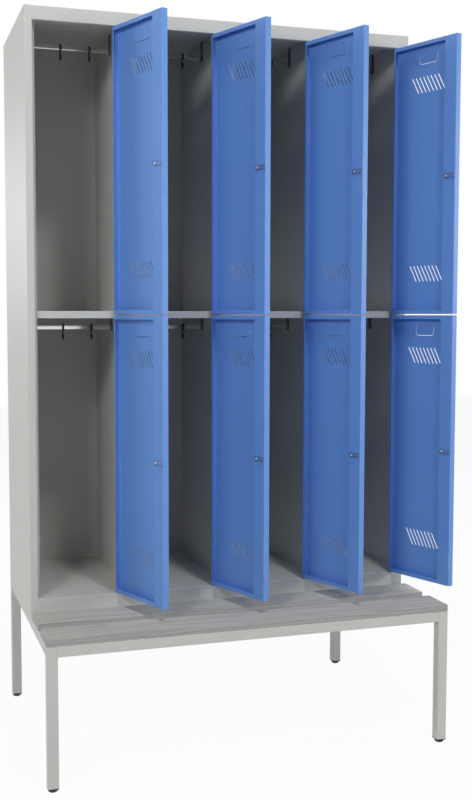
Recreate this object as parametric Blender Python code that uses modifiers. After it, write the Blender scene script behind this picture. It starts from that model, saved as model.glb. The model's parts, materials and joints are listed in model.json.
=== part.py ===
"""Steel locker with eight compartments on a tube frame that carries a bench in front of it.

Lengths are metres and +Z is up. Inside this script a place is written in cabinet coordinates: x from
the cabinet's left side, y back from the plane of its closed doors, z up from the ground. The function at()
turns such a place into the part's own frame, whose origin is on the ground under the middle of it all.
"""

import math

import bmesh
import bpy
from mathutils import Matrix, Vector

# Cabinet of folded sheet
COLUMNS = 4
COLUMN_PITCH = 0.300
CABINET_DEPTH = 0.500
CABINET_HEIGHT = 1.755
SHEET = 0.001
BEND_RADIUS = 1.5 * SHEET
BEND_STEPS = 2
STILE_WIDTH = 0.022
STOP_LIP = 0.009
HEADER_HEIGHT = 0.039
HEADER_RETURN = 0.022
BASE_HEIGHT = 0.053
BASE_RETURN = 0.020
BACK_RETURN = 0.015
SHELF_HEIGHT = 0.021

# Clearance between pieces that touch, how far a cutter runs past what it cuts, and what counts as one point
FIT_GAP = 0.0003
OVERRUN = 0.002
MERGE_DISTANCE = 0.00001

# Doors
DOOR_THICKNESS = 0.020
DOOR_SIDE_GAP = 0.003
DOOR_END_GAP = 0.0025
TIER_GAP = 0.004
OPEN_ANGLE = math.radians(110)
HINGE_RETURN = 0.006
END_RETURN = 0.012

# Hinge pins, fixed to the cabinet, in holes of the doors' folded ends
PIN_EDGE_INSET = 0.005
PIN_FACE_INSET = 0.0045
PIN_RADIUS = 0.002
PIN_CLEARANCE = 0.0003
PIN_REACH = 0.003
TAB_END = 0.008
TAB_DEPTH = 0.0105
TAB_SETBACK = 0.0015
PIN_SIDES = 8

# Slanted vents in each door, and its embossed label field, slit round three sides to hold a card
VENT_COUNT = 8
VENT_PITCH = 0.0148
VENT_HEIGHT = 0.050
VENT_TILT = math.radians(27.5)
VENT_WIDTH = 0.004
VENT_INSET = 0.125
VENT_SIDES = 6
LABEL_WIDTH = 0.068
LABEL_HEIGHT = 0.033
LABEL_INSET = 0.028
LABEL_EMBOSS = 0.0015
LABEL_CORNER = 0.008
LABEL_CORNER_STEPS = 3
SLIT_WIDTH = 0.0012
SLIT_OFFSET = 0.0008
SLIT_SHORT = 0.006

# Cam locks
LOCK_INSET = 0.034
LOCK_LAND = 0.002
PLUG_RADIUS = 0.006
PLUG_CLEARANCE = 0.0003
HOUSING_WALL = 0.0027
ROSETTE_RIM = 0.002
ROSETTE_PROUD = 0.0025
ROSETTE_CHAMFER = 0.0008
KEYWAY_LENGTH = 0.007
KEYWAY_WIDTH = 0.0012
KEYWAY_DEPTH = 0.0015
CAM_GAP = 0.0004
CAM_THICKNESS = 0.0016
CAM_WIDTH = 0.014
CAM_SHOULDER = 0.0015
CAM_CORNER = 0.002
CAM_LIP_GAP = 0.0005
SCREW_RADIUS = 0.004
SCREW_HEIGHT = 0.0014
SCREW_DOME_SHARE = 0.7
LOCK_SIDES = 12

# Hanging rails of flat tube, with their end brackets
RAIL_HEIGHT = 0.014
RAIL_WIDTH = 0.007
RAIL_CORNER = 0.002
RAIL_WALL = 0.0012
UPPER_RAIL_DROP = 0.052
LOWER_RAIL_DROP = 0.029
BRACKET_THICKNESS = 0.004
BRACKET_RADIUS = 0.012
STRAP_WIDTH = 0.016
BRACKET_SIDES = 12

# Sliding coat hooks: the right one's place is measured from the column's right border
HOOK_INSET = 0.066
HOOK_SPACING = 0.090
HOOK_WIRE = 0.0024
HOOK_RING = 0.0111
HOOK_SINK = 0.0009
HOOK_DROP = 0.039
HOOK_CURL = 0.007
HOOK_TIP = 0.007
HOOK_SHOULDER = 0.004
HOOK_RING_START = math.radians(135)
HOOK_RING_END = math.radians(-150)
HOOK_RING_STEPS = 7
HOOK_CURL_STEPS = 4

# Tube frame, feet and bench
BENCH_REACH = 0.300
TUBE = 0.030
TUBE_WALL = 0.002
TUBE_CORNER = 0.0015
FRAME_TOP = 0.402
FOOT_HEIGHT = 0.012
FOOT_RIM = 0.001
FOOT_FLANGE = 0.003
FOOT_STEM = 0.025
FOOT_SIDES = 16
PLANK_THICKNESS = 0.020
PLANK_GAP = 0.044
CABINET_GAP = 0.030
PLANK_EDGE = 0.0015

# Sizes worked out from the ones above
CABINET_WIDTH = COLUMNS * COLUMN_PITCH
CABINET_BASE = FRAME_TOP + FIT_GAP
CABINET_TOP = FRAME_TOP + CABINET_HEIGHT
FLOOR_TOP = FRAME_TOP + BASE_HEIGHT
HEADER_BASE = CABINET_TOP - HEADER_HEIGHT
LIP_FRONT = DOOR_THICKNESS + CAM_GAP + CAM_THICKNESS + CAM_LIP_GAP
LIP_BACK = LIP_FRONT + SHEET
BACK_PANEL_REAR = CABINET_DEPTH - SHEET - FIT_GAP
INSIDE_REAR = BACK_PANEL_REAR - SHEET - FIT_GAP
DOOR_WIDTH = COLUMN_PITCH - 2 * (STILE_WIDTH + DOOR_SIDE_GAP)
DOOR_HEIGHT = (HEADER_BASE - FLOOR_TOP - 2 * DOOR_END_GAP - TIER_GAP) / 2
DOOR_BASES = {"lower": FLOOR_TOP + DOOR_END_GAP, "upper": HEADER_BASE - DOOR_END_GAP - DOOR_HEIGHT}
TIER_MIDDLE = DOOR_BASES["upper"] - TIER_GAP / 2
SHELF_TOP = TIER_MIDDLE + SHELF_HEIGHT / 2
SHELF_BASE = SHELF_TOP - SHELF_HEIGHT
ROOF_UNDERSIDE = CABINET_TOP - SHEET
BELOW_ROOF = ROOF_UNDERSIDE - FIT_GAP
PIN_FROM_STILE = DOOR_SIDE_GAP + PIN_EDGE_INSET
PIN_FROM_BORDER = STILE_WIDTH + PIN_FROM_STILE
TAB_THICKNESS = TIER_GAP / 2
BORE_RADIUS = PLUG_RADIUS + PLUG_CLEARANCE
HOUSING_RADIUS = BORE_RADIUS + HOUSING_WALL
ROSETTE_RADIUS = HOUSING_RADIUS + ROSETTE_RIM
LOCK_RETURN = LOCK_INSET + HOUSING_RADIUS + LOCK_LAND
CAM_BOSS_RADIUS = CAM_WIDTH / 2 + CAM_SHOULDER
HOOK_PLACES = {"left": COLUMN_PITCH - HOOK_INSET - HOOK_SPACING, "right": COLUMN_PITCH - HOOK_INSET}
PLANK_WIDTH = (BENCH_REACH - PLANK_GAP - CABINET_GAP) / 2
FOOT_RADIUS = TUBE / 2 - FOOT_RIM

# The door as drawn: closed, with its hinge axis at x = y = 0 and its lower end at z = 0
DOOR_HINGE_X = PIN_EDGE_INSET
DOOR_FREE_X = PIN_EDGE_INSET - DOOR_WIDTH
DOOR_FRONT_Y = -PIN_FACE_INSET
DOOR_BACK_Y = DOOR_THICKNESS - PIN_FACE_INSET
LOCK_X = DOOR_FREE_X + LOCK_INSET

# The opened door of the last column reaches past the cabinet, and the origin is under the middle of it all
OPEN_REACH = BEND_RADIUS + max(
    x * math.cos(OPEN_ANGLE) - y * math.sin(OPEN_ANGLE)
    for x in (DOOR_FREE_X + BEND_RADIUS, DOOR_HINGE_X - BEND_RADIUS)
    for y in (DOOR_FRONT_Y + BEND_RADIUS, DOOR_BACK_Y - BEND_RADIUS)
)
RIGHT_REACH = max(CABINET_WIDTH, CABINET_WIDTH - PIN_FROM_BORDER + OPEN_REACH)
MIDDLE_X = RIGHT_REACH / 2
MIDDLE_Y = (CABINET_DEPTH - BENCH_REACH) / 2


def at(x, y, z):
    """Turn a place in cabinet coordinates into the part's own frame."""
    return Vector((x - MIDDLE_X, y - MIDDLE_Y, z))


def material(name, colour, roughness, metallic):
    """Return a Principled material."""
    made = bpy.data.materials.new(name)
    made.use_nodes = True
    shader = made.node_tree.nodes["Principled BSDF"]
    shader.inputs["Base Color"].default_value = (*colour, 1)
    shader.inputs["Roughness"].default_value = roughness
    shader.inputs["Metallic"].default_value = metallic
    return made


for old in list(bpy.data.objects):
    bpy.data.objects.remove(old, do_unlink=True)

PARTS = bpy.data.collections.new("locker_with_bench")
CUTTERS = bpy.data.collections.new("cutters")
bpy.context.scene.collection.children.link(PARTS)
bpy.context.scene.collection.children.link(CUTTERS)

GREY_PAINT = material("grey_paint", (0.60, 0.61, 0.59), 0.45, 0.0)
BLUE_PAINT = material("blue_paint", (0.09, 0.20, 0.56), 0.45, 0.0)
BRIGHT_STEEL = material("bright_steel", (0.62, 0.63, 0.65), 0.25, 1.0)
BLACK_PLASTIC = material("black_plastic", (0.02, 0.02, 0.02), 0.5, 0.0)
GREY_WOOD = material("grey_wood", (0.30, 0.30, 0.29), 0.6, 0.0)


def place(name, mesh, coating, location=(0, 0, 0)):
    """Add an object of the part."""
    made = bpy.data.objects.new(name, mesh)
    made.location = location
    if not mesh.materials:
        mesh.materials.append(coating)
    PARTS.objects.link(made)
    return made


def helper(name, mesh):
    """Add a cutter, or a piece that is joined to another, which isn't part of the object itself."""
    made = bpy.data.objects.new(name, mesh)
    made.hide_render = True
    made.display_type = "WIRE"
    CUTTERS.objects.link(made)
    return made


def combine(target, tool, operation):
    """Cut the tool from the target, or join it on, with a Boolean."""
    step = target.modifiers.new(f"{operation.lower()}_{tool.name}", "BOOLEAN")
    step.operation = operation
    step.object = tool
    return step


def to_mesh(bm, name):
    """Write a bmesh into a new mesh."""
    mesh = bpy.data.meshes.new(name)
    bm.to_mesh(mesh)
    bm.free()
    return mesh


def baked(source):
    """Return the mesh of an object with its modifiers applied, and remove the object."""
    bpy.context.view_layer.update()
    mesh = bpy.data.meshes.new_from_object(source.evaluated_get(bpy.context.evaluated_depsgraph_get()))
    bpy.data.objects.remove(source, do_unlink=True)
    return mesh


def add_box(bm, low, high):
    """Add a box between two corners and return its new vertices."""
    made = bmesh.ops.create_cube(bm, size=1)["verts"]
    low, high = Vector(low), Vector(high)
    bmesh.ops.scale(bm, vec=high - low, verts=made)
    bmesh.ops.translate(bm, vec=(low + high) / 2, verts=made)
    return made


def add_rod(bm, start, end, radius, sides):
    """Add a closed cylinder between two points."""
    start, end = Vector(start), Vector(end)
    axis = end - start
    turn = Vector((0, 0, 1)).rotation_difference(axis).to_matrix().to_4x4()
    bmesh.ops.create_cone(
        bm,
        cap_ends=True,
        segments=sides,
        radius1=radius,
        radius2=radius,
        depth=axis.length,
        matrix=Matrix.Translation((start + end) / 2) @ turn,
    )


def boxes(name, corners):
    """Return a helper object that holds several boxes."""
    bm = bmesh.new()
    for low, high in corners:
        add_box(bm, low, high)
    return helper(name, to_mesh(bm, name))


def rods(name, spans, radius, sides):
    """Return a helper object that holds several cylinders."""
    bm = bmesh.new()
    for start, end in spans:
        add_rod(bm, start, end, radius, sides)
    return helper(name, to_mesh(bm, name))


def bent(points, radius):
    """Round the square corners of a path with arcs."""
    path = [points[0]]
    for before, corner, after in zip(points, points[1:], points[2:]):
        into = (corner - before).normalized()
        out = (after - corner).normalized()
        centre = corner - radius * into + radius * out
        for step in range(BEND_STEPS + 1):
            angle = math.pi / 2 * step / BEND_STEPS
            path.append(centre - radius * math.cos(angle) * out + radius * math.sin(angle) * into)
    path.append(points[-1])
    return path


def folded_sheet(name, points, length):
    """Return an object of sheet folded along a path, drawn out by a vector.

    The path's right-hand side, seen against that vector, is the sheet's outer face.
    """
    bm = bmesh.new()
    line = [bm.verts.new(point) for point in bent([Vector(point) for point in points], BEND_RADIUS)]
    edges = [bm.edges.new(pair) for pair in zip(line, line[1:])]
    drawn = bmesh.ops.extrude_edge_only(bm, edges=edges)["geom"]
    moved = [item for item in drawn if isinstance(item, bmesh.types.BMVert)]
    bmesh.ops.translate(bm, vec=length, verts=moved)
    bm.normal_update()
    outward = (line[1].co - line[0].co).cross(Vector(length))
    if line[0].link_faces[0].normal.dot(outward) < 0:
        bmesh.ops.reverse_faces(bm, faces=bm.faces)
    made = place(name, to_mesh(bm, name), GREY_PAINT)
    skin = made.modifiers.new("sheet", "SOLIDIFY")
    skin.thickness = SHEET
    skin.offset = -1
    skin.use_even_offset = True
    return made


def turned(name, profile, sides):
    """Return the mesh of a profile turned about z: pairs of radius and height, outer side going down."""
    bm = bmesh.new()
    line = [bm.verts.new((radius, 0, height)) for radius, height in profile]
    for pair in zip(line, line[1:]):
        bm.edges.new(pair)
    source = helper(name, to_mesh(bm, name))
    screw = source.modifiers.new("turn", "SCREW")
    screw.steps = sides
    screw.render_steps = sides
    screw.use_merge_vertices = True
    screw.merge_threshold = MERGE_DISTANCE
    mesh = baked(source)
    bm = bmesh.new()
    bm.from_mesh(mesh)
    hubs = [vertex for vertex in bm.verts if vertex.co.xy.length < MERGE_DISTANCE]
    bmesh.ops.dissolve_verts(bm, verts=hubs)
    bm.to_mesh(mesh)
    bm.free()
    return mesh


def smooth(mesh):
    """Shade a mesh smooth but for its sharp edges."""
    mesh.shade_smooth()
    mesh.set_sharp_from_angle(angle=math.radians(35))
    return mesh


# Side panels: back return, wall, stile, and the stop lip that the doors close against
def side_panel(name, wall_x, inward):
    """Fold a side panel whose outer face is at wall_x and whose stile runs inward, +1 or -1."""
    path = [
        at(wall_x + inward * BACK_RETURN, CABINET_DEPTH, CABINET_BASE),
        at(wall_x, CABINET_DEPTH, CABINET_BASE),
        at(wall_x, 0, CABINET_BASE),
        at(wall_x + inward * STILE_WIDTH, 0, CABINET_BASE),
        at(wall_x + inward * STILE_WIDTH, LIP_FRONT, CABINET_BASE),
        at(wall_x + inward * (STILE_WIDTH + STOP_LIP), LIP_FRONT, CABINET_BASE),
    ]
    if inward < 0:
        path.reverse()
    return folded_sheet(name, path, (0, 0, BELOW_ROOF - CABINET_BASE))


side_panel("side_left", 0, 1)
side_right = side_panel("side_right", CABINET_WIDTH, -1)


# Hinge tab in the gap between the tiers, with the pin that carries both doors of a column
def hinge_tab(column, carrier):
    """Join the tab and pin of a column's doors to the piece that carries them."""
    stile_x = column * COLUMN_PITCH - STILE_WIDTH
    pin_x = column * COLUMN_PITCH - PIN_FROM_BORDER
    plate = boxes(
        f"tab_{column}",
        [
            (
                at(pin_x - TAB_END, TAB_SETBACK, TIER_MIDDLE - TAB_THICKNESS / 2),
                at(stile_x + SHEET / 2, TAB_SETBACK + TAB_DEPTH, TIER_MIDDLE + TAB_THICKNESS / 2),
            )
        ],
    )
    reach = TIER_GAP / 2 + SHEET + PIN_REACH
    pin = rods(
        f"tab_pin_{column}",
        [(at(pin_x, PIN_FACE_INSET, TIER_MIDDLE - reach), at(pin_x, PIN_FACE_INSET, TIER_MIDDLE + reach))],
        PIN_RADIUS,
        PIN_SIDES,
    )
    combine(carrier, plate, "UNION")
    combine(carrier, pin, "UNION")


hinge_tab(COLUMNS, side_right)


# Partitions: a front post with two stop lips, and a web to the back
def partition(number):
    """Make the partition on the border between two columns."""
    middle = number * COLUMN_PITCH
    base = FLOOR_TOP + FIT_GAP
    post_top = HEADER_BASE - FIT_GAP
    left, right = middle - STILE_WIDTH, middle + STILE_WIDTH
    path = [
        at(left - STOP_LIP, LIP_FRONT, base),
        at(left, LIP_FRONT, base),
        at(left, 0, base),
        at(right, 0, base),
        at(right, LIP_FRONT, base),
        at(right + STOP_LIP, LIP_FRONT, base),
    ]
    made = folded_sheet(f"partition_{number}", path, (0, 0, post_top - base))
    behind_header = HEADER_RETURN + FIT_GAP
    web_left, web_right = middle - SHEET / 2, middle + SHEET / 2
    web = boxes(
        f"web_{number}",
        [(at(web_left, SHEET / 2, base), at(web_right, INSIDE_REAR, post_top))],
    )
    crest = boxes(
        f"crest_{number}",
        [(at(web_left, behind_header, TIER_MIDDLE), at(web_right, INSIDE_REAR, BELOW_ROOF))],
    )
    combine(made, web, "UNION")
    combine(made, crest, "UNION")
    hinge_tab(number, made)


for border in range(1, COLUMNS):
    partition(border)


def stile_notches(name, top):
    """Return cutters, up to a height, that let a panel pass the side panels' stiles and stop lips."""
    stile_end = STILE_WIDTH + FIT_GAP
    lip_end = stile_end + STOP_LIP
    front = LIP_FRONT - BEND_RADIUS - FIT_GAP
    rear = LIP_BACK + FIT_GAP
    right_edge = CABINET_WIDTH + OVERRUN
    stiles = boxes(
        f"{name}_stiles",
        [
            (at(-OVERRUN, -OVERRUN, 0), at(stile_end, rear, top)),
            (at(CABINET_WIDTH - stile_end, -OVERRUN, 0), at(right_edge, rear, top)),
        ],
    )
    lips = boxes(
        f"{name}_lips",
        [
            (at(-OVERRUN, front, 0), at(lip_end, rear, top)),
            (at(CABINET_WIDTH - lip_end, front, 0), at(right_edge, rear, top)),
        ],
    )
    return stiles, lips


def hinge_pins(name, base, top):
    """Return the pins of all columns between two heights."""
    places = [column * COLUMN_PITCH - PIN_FROM_BORDER for column in range(1, COLUMNS + 1)]
    spans = [(at(x, PIN_FACE_INSET, base), at(x, PIN_FACE_INSET, top)) for x in places]
    return rods(name, spans, PIN_RADIUS, PIN_SIDES)


# Roof panel, which lies over the sides, with the header and the upper doors' top pins
roof = folded_sheet(
    "roof_panel",
    [
        at(0, CABINET_DEPTH, CABINET_TOP),
        at(0, 0, CABINET_TOP),
        at(0, 0, HEADER_BASE),
        at(0, HEADER_RETURN, HEADER_BASE),
    ],
    (CABINET_WIDTH, 0, 0),
)
for cutter in stile_notches("roof", ROOF_UNDERSIDE):
    combine(roof, cutter, "DIFFERENCE")
roof_pin_end = HEADER_BASE - DOOR_END_GAP - SHEET - PIN_REACH
combine(roof, hinge_pins("roof_pins", roof_pin_end, HEADER_BASE + SHEET / 2), "UNION")

# Floor panel with the base flange, which carries the lower doors' bottom pins
panel_left = SHEET + FIT_GAP
panel_right = CABINET_WIDTH - SHEET - FIT_GAP
floor = folded_sheet(
    "floor_panel",
    [
        at(panel_left, INSIDE_REAR - BASE_RETURN, CABINET_BASE),
        at(panel_left, INSIDE_REAR, CABINET_BASE),
        at(panel_left, INSIDE_REAR, FLOOR_TOP),
        at(panel_left, 0, FLOOR_TOP),
        at(panel_left, 0, CABINET_BASE),
        at(panel_left, BASE_RETURN, CABINET_BASE),
    ],
    (panel_right - panel_left, 0, 0),
)
for cutter in stile_notches("floor", CABINET_TOP):
    combine(floor, cutter, "DIFFERENCE")
floor_pin_end = FLOOR_TOP + DOOR_END_GAP + SHEET + PIN_REACH
combine(floor, hinge_pins("floor_pins", FLOOR_TOP - SHEET / 2, floor_pin_end), "UNION")

# Back panel, in front of the side panels' back returns
back = bmesh.new()
add_box(
    back,
    at(panel_left, BACK_PANEL_REAR - SHEET, CABINET_BASE),
    at(panel_right, BACK_PANEL_REAR, BELOW_ROOF),
)
place("back_panel", to_mesh(back, "back_panel"), GREY_PAINT)


def column_walls(column):
    """Return the x of the inner faces of a column's left and right walls."""
    left = SHEET if column == 1 else (column - 1) * COLUMN_PITCH + SHEET / 2
    right = CABINET_WIDTH - SHEET if column == COLUMNS else column * COLUMN_PITCH - SHEET / 2
    return left, right


# Mid shelves: trays turned upside down, open below
def shelf(column):
    """Make a column's shelf."""
    left, right = column_walls(column)
    bm = bmesh.new()
    add_box(
        bm,
        at(left + FIT_GAP, LIP_BACK + FIT_GAP, SHELF_BASE),
        at(right - FIT_GAP, INSIDE_REAR, SHELF_TOP),
    )
    bm.normal_update()
    under = [face for face in bm.faces if face.normal.z < -0.5]
    bmesh.ops.delete(bm, geom=under, context="FACES")
    mid_height = (SHELF_BASE + SHELF_TOP) / 2
    folds = [edge for edge in bm.edges if all(vertex.co.z > mid_height for vertex in edge.verts)]
    bmesh.ops.bevel(bm, geom=folds, offset=BEND_RADIUS, segments=BEND_STEPS, affect="EDGES", profile=0.5)
    made = place(f"shelf_{column}", to_mesh(bm, f"shelf_{column}"), GREY_PAINT)
    skin = made.modifiers.new("sheet", "SOLIDIFY")
    skin.thickness = SHEET
    skin.offset = -1
    skin.use_even_offset = True


for number in range(1, COLUMNS + 1):
    shelf(number)


# Door: a folded tray with slanted vents, a pressed label field, pin holes and the lock's housing
def vent_cutter():
    """Return a helper that holds the slanted slots of a door."""
    bm = bmesh.new()
    slot_length = VENT_HEIGHT / math.cos(VENT_TILT)
    stretch = (slot_length - VENT_WIDTH) / 2
    across = (DOOR_HINGE_X + DOOR_FREE_X) / 2
    lean = Matrix.Rotation(VENT_TILT, 4, "Y")
    face_on = Matrix.Rotation(math.pi / 2, 4, "X") @ Matrix.Rotation(math.pi / VENT_SIDES, 4, "Z")
    for height in (VENT_INSET, DOOR_HEIGHT - VENT_INSET):
        for number in range(VENT_COUNT):
            offset = (number - (VENT_COUNT - 1) / 2) * VENT_PITCH
            made = bmesh.ops.create_cone(
                bm,
                cap_ends=True,
                segments=VENT_SIDES,
                radius1=VENT_WIDTH / 2,
                radius2=VENT_WIDTH / 2,
                depth=2 * (SHEET + OVERRUN),
                matrix=face_on,
            )["verts"]
            for vertex in made:
                vertex.co.z += math.copysign(stretch, vertex.co.z)
            bmesh.ops.transform(
                bm,
                matrix=Matrix.Translation((across + offset, DOOR_FRONT_Y + SHEET / 2, height)) @ lean,
                verts=made,
            )
    return helper("vents", to_mesh(bm, "vents"))


def label_slit():
    """Return a helper that cuts a slit down both sides of a door's label field and under it."""
    middle = (DOOR_HINGE_X + DOOR_FREE_X) / 2
    out = SLIT_OFFSET + SLIT_WIDTH / 2
    half = LABEL_WIDTH / 2 + out
    top = DOOR_HEIGHT - LABEL_INSET - SLIT_SHORT
    bottom = DOOR_HEIGHT - LABEL_INSET - LABEL_HEIGHT - out
    corner = LABEL_CORNER + out
    path = [(middle - half, top)]
    for side, first in ((-1, 0), (1, 1)):
        for step in range(LABEL_CORNER_STEPS + 1):
            share = step / LABEL_CORNER_STEPS
            angle = math.pi / 2 * (1 - share if first else share)
            x = middle + side * (half - corner + corner * math.cos(angle))
            path.append((x, bottom + corner - corner * math.sin(angle)))
    path.append((middle + half, top))
    bm = bmesh.new()
    line = [bm.verts.new((x, DOOR_FRONT_Y - OVERRUN, z)) for x, z in path]
    edges = [bm.edges.new(pair) for pair in zip(line, line[1:])]
    drawn = bmesh.ops.extrude_edge_only(bm, edges=edges)["geom"]
    moved = [item for item in drawn if isinstance(item, bmesh.types.BMVert)]
    bmesh.ops.translate(bm, vec=(0, SHEET + 2 * OVERRUN, 0), verts=moved)
    slit = helper("label_slit", to_mesh(bm, "label_slit"))
    skin = slit.modifiers.new("width", "SOLIDIFY")
    skin.thickness = SLIT_WIDTH
    skin.offset = 0
    skin.use_even_offset = True
    return slit


def frame_face(bm, face, across, up):
    """Split a four-sided upright face into a rectangle, which is returned, and the border round it."""
    middle = face.calc_center_median()
    outer = list(face.verts)
    inner = [
        bm.verts.new((across[vertex.co.x > middle.x], vertex.co.y, up[vertex.co.z > middle.z]))
        for vertex in outer
    ]
    bmesh.ops.delete(bm, geom=[face], context="FACES_ONLY")
    for first, second in ((0, 1), (1, 2), (2, 3), (3, 0)):
        bm.faces.new((outer[first], outer[second], inner[second], inner[first]))
    return bm.faces.new(inner)


def tray_mesh():
    """Return the open surface of the door's outer faces."""
    bm = bmesh.new()
    add_box(bm, (DOOR_FREE_X, DOOR_FRONT_Y, 0), (DOOR_HINGE_X, DOOR_BACK_Y, DOOR_HEIGHT))
    folds = [edge for edge in bm.edges if abs(edge.verts[0].co.y - edge.verts[1].co.y) < DOOR_THICKNESS / 2]
    bmesh.ops.bevel(bm, geom=folds, offset=BEND_RADIUS, segments=BEND_STEPS, affect="EDGES", profile=0.5)
    middle = (DOOR_HINGE_X + DOOR_FREE_X) / 2
    bm.normal_update()
    back_face = max(bm.faces, key=lambda face: face.normal.y * face.calc_area())
    front_face = min(bm.faces, key=lambda face: face.normal.y * face.calc_area())
    window = frame_face(
        bm,
        back_face,
        (DOOR_FREE_X + LOCK_RETURN, DOOR_HINGE_X - HINGE_RETURN),
        (END_RETURN, DOOR_HEIGHT - END_RETURN),
    )
    bmesh.ops.delete(bm, geom=[window], context="FACES")
    label = frame_face(
        bm,
        front_face,
        (middle - LABEL_WIDTH / 2, middle + LABEL_WIDTH / 2),
        (DOOR_HEIGHT - LABEL_INSET - LABEL_HEIGHT, DOOR_HEIGHT - LABEL_INSET),
    )
    field_middle = label.calc_center_median()
    bmesh.ops.bevel(
        bm,
        geom=label.verts[:],
        offset=LABEL_CORNER,
        segments=LABEL_CORNER_STEPS,
        affect="VERTICES",
        profile=0.5,
    )
    bm.normal_update()
    fronts = [face for face in bm.faces if face.normal.y < -0.99]
    field = min(fronts, key=lambda face: (face.calc_center_bounds() - field_middle).length)
    bmesh.ops.inset_region(
        bm,
        faces=[field],
        thickness=LABEL_EMBOSS,
        depth=-LABEL_EMBOSS,
        use_even_offset=True,
    )
    return to_mesh(bm, "door_tray")


def door_mesh():
    """Return the mesh of a door."""
    source = helper("door_source", tray_mesh())
    skin = source.modifiers.new("sheet", "SOLIDIFY")
    skin.thickness = SHEET
    skin.offset = -1
    skin.use_even_offset = True
    along_y = Matrix.Translation((LOCK_X, 0, DOOR_HEIGHT / 2)) @ Matrix.Rotation(math.pi / 2, 4, "X")
    front = -DOOR_FRONT_Y + ROSETTE_PROUD
    housing_mesh = turned(
        "housing",
        [
            (0, front),
            (ROSETTE_RADIUS - ROSETTE_CHAMFER, front),
            (ROSETTE_RADIUS, front - ROSETTE_CHAMFER),
            (ROSETTE_RADIUS, -DOOR_FRONT_Y - SHEET / 2),
            (HOUSING_RADIUS, -DOOR_FRONT_Y - SHEET / 2),
            (HOUSING_RADIUS, -DOOR_BACK_Y + SHEET / 2),
            (0, -DOOR_BACK_Y + SHEET / 2),
        ],
        LOCK_SIDES,
    )
    housing_mesh.transform(along_y)
    housing = helper("housing", housing_mesh)
    bore = rods(
        "lock_bore",
        [
            (
                (LOCK_X, DOOR_FRONT_Y - ROSETTE_PROUD - OVERRUN, DOOR_HEIGHT / 2),
                (LOCK_X, DOOR_BACK_Y + OVERRUN, DOOR_HEIGHT / 2),
            )
        ],
        BORE_RADIUS,
        LOCK_SIDES,
    )
    pin_holes = rods(
        "pin_holes",
        [
            ((0, 0, -OVERRUN), (0, 0, SHEET + OVERRUN)),
            ((0, 0, DOOR_HEIGHT - SHEET - OVERRUN), (0, 0, DOOR_HEIGHT + OVERRUN)),
        ],
        PIN_RADIUS + PIN_CLEARANCE,
        PIN_SIDES,
    )
    vents = vent_cutter()
    slit = label_slit()
    combine(source, housing, "UNION")
    for cutter in (bore, pin_holes, vents, slit):
        combine(source, cutter, "DIFFERENCE")
    mesh = baked(source)
    mesh.name = "door"
    mesh.materials.clear()
    return mesh


# Lock plug with its cam and the cam's screw, drawn about the lock's axis at x = z = 0 of the closed door
def cam_mesh():
    """Return the mesh of the turning half of a lock."""
    plug_front = -DOOR_FRONT_Y + ROSETTE_PROUD
    cam_start = -DOOR_BACK_Y - CAM_GAP
    cam_end = cam_start - CAM_THICKNESS
    turn = Matrix.Rotation(math.pi / 2, 4, "X")
    plug_mesh = turned(
        "plug",
        [
            (0, plug_front),
            (PLUG_RADIUS, plug_front),
            (PLUG_RADIUS, cam_start - CAM_THICKNESS / 4),
            (0, cam_start - CAM_THICKNESS / 4),
        ],
        LOCK_SIDES,
    )
    plug_mesh.transform(turn)
    source = helper("plug_source", plug_mesh)
    boss_mesh = turned(
        "boss",
        [(0, cam_start), (CAM_BOSS_RADIUS, cam_start), (CAM_BOSS_RADIUS, cam_end), (0, cam_end)],
        LOCK_SIDES,
    )
    boss_mesh.transform(turn)
    tongue = bmesh.new()
    add_box(tongue, (-LOCK_INSET, -cam_start, -CAM_WIDTH / 2), (0, -cam_end, CAM_WIDTH / 2))
    tip_edges = [
        edge
        for edge in tongue.edges
        if all(vertex.co.x < -LOCK_INSET / 2 for vertex in edge.verts)
        and abs(edge.verts[0].co.y - edge.verts[1].co.y) > CAM_THICKNESS / 2
    ]
    bmesh.ops.bevel(
        tongue,
        geom=tip_edges,
        offset=CAM_CORNER,
        segments=BEND_STEPS,
        affect="EDGES",
        profile=0.5,
    )
    dome = SCREW_RADIUS * SCREW_DOME_SHARE
    screw_mesh = turned(
        "screw",
        [
            (0, cam_end + CAM_THICKNESS / 2),
            (SCREW_RADIUS, cam_end + CAM_THICKNESS / 2),
            (SCREW_RADIUS, cam_end - SCREW_HEIGHT / 2),
            (dome, cam_end - SCREW_HEIGHT),
            (0, cam_end - SCREW_HEIGHT),
        ],
        LOCK_SIDES,
    )
    screw_mesh.transform(turn)
    keyway = boxes(
        "keyway",
        [
            (
                (-KEYWAY_WIDTH / 2, -plug_front - OVERRUN, -KEYWAY_LENGTH / 2),
                (KEYWAY_WIDTH / 2, -plug_front + KEYWAY_DEPTH, KEYWAY_LENGTH / 2),
            )
        ],
    )
    combine(source, helper("boss", boss_mesh), "UNION")
    combine(source, helper("tongue", to_mesh(tongue, "tongue")), "UNION")
    combine(source, helper("screw", screw_mesh), "UNION")
    combine(source, keyway, "DIFFERENCE")
    mesh = baked(source)
    mesh.name = "lock_cam"
    mesh.materials.clear()
    return smooth(mesh)


DOOR_MESH = door_mesh()
CAM_MESH = cam_mesh()
for column_number in range(1, COLUMNS + 1):
    for tier, door_base in DOOR_BASES.items():
        pin = at(column_number * COLUMN_PITCH - PIN_FROM_BORDER, PIN_FACE_INSET, door_base)
        door = place(f"door_{column_number}_{tier}", DOOR_MESH, BLUE_PAINT, pin)
        door.rotation_euler = (0, 0, OPEN_ANGLE)
        lock_place = (LOCK_X, 0, DOOR_HEIGHT / 2)
        cam = place(f"lock_cam_{column_number}_{tier}", CAM_MESH, BRIGHT_STEEL, lock_place)
        cam.parent = door


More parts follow.
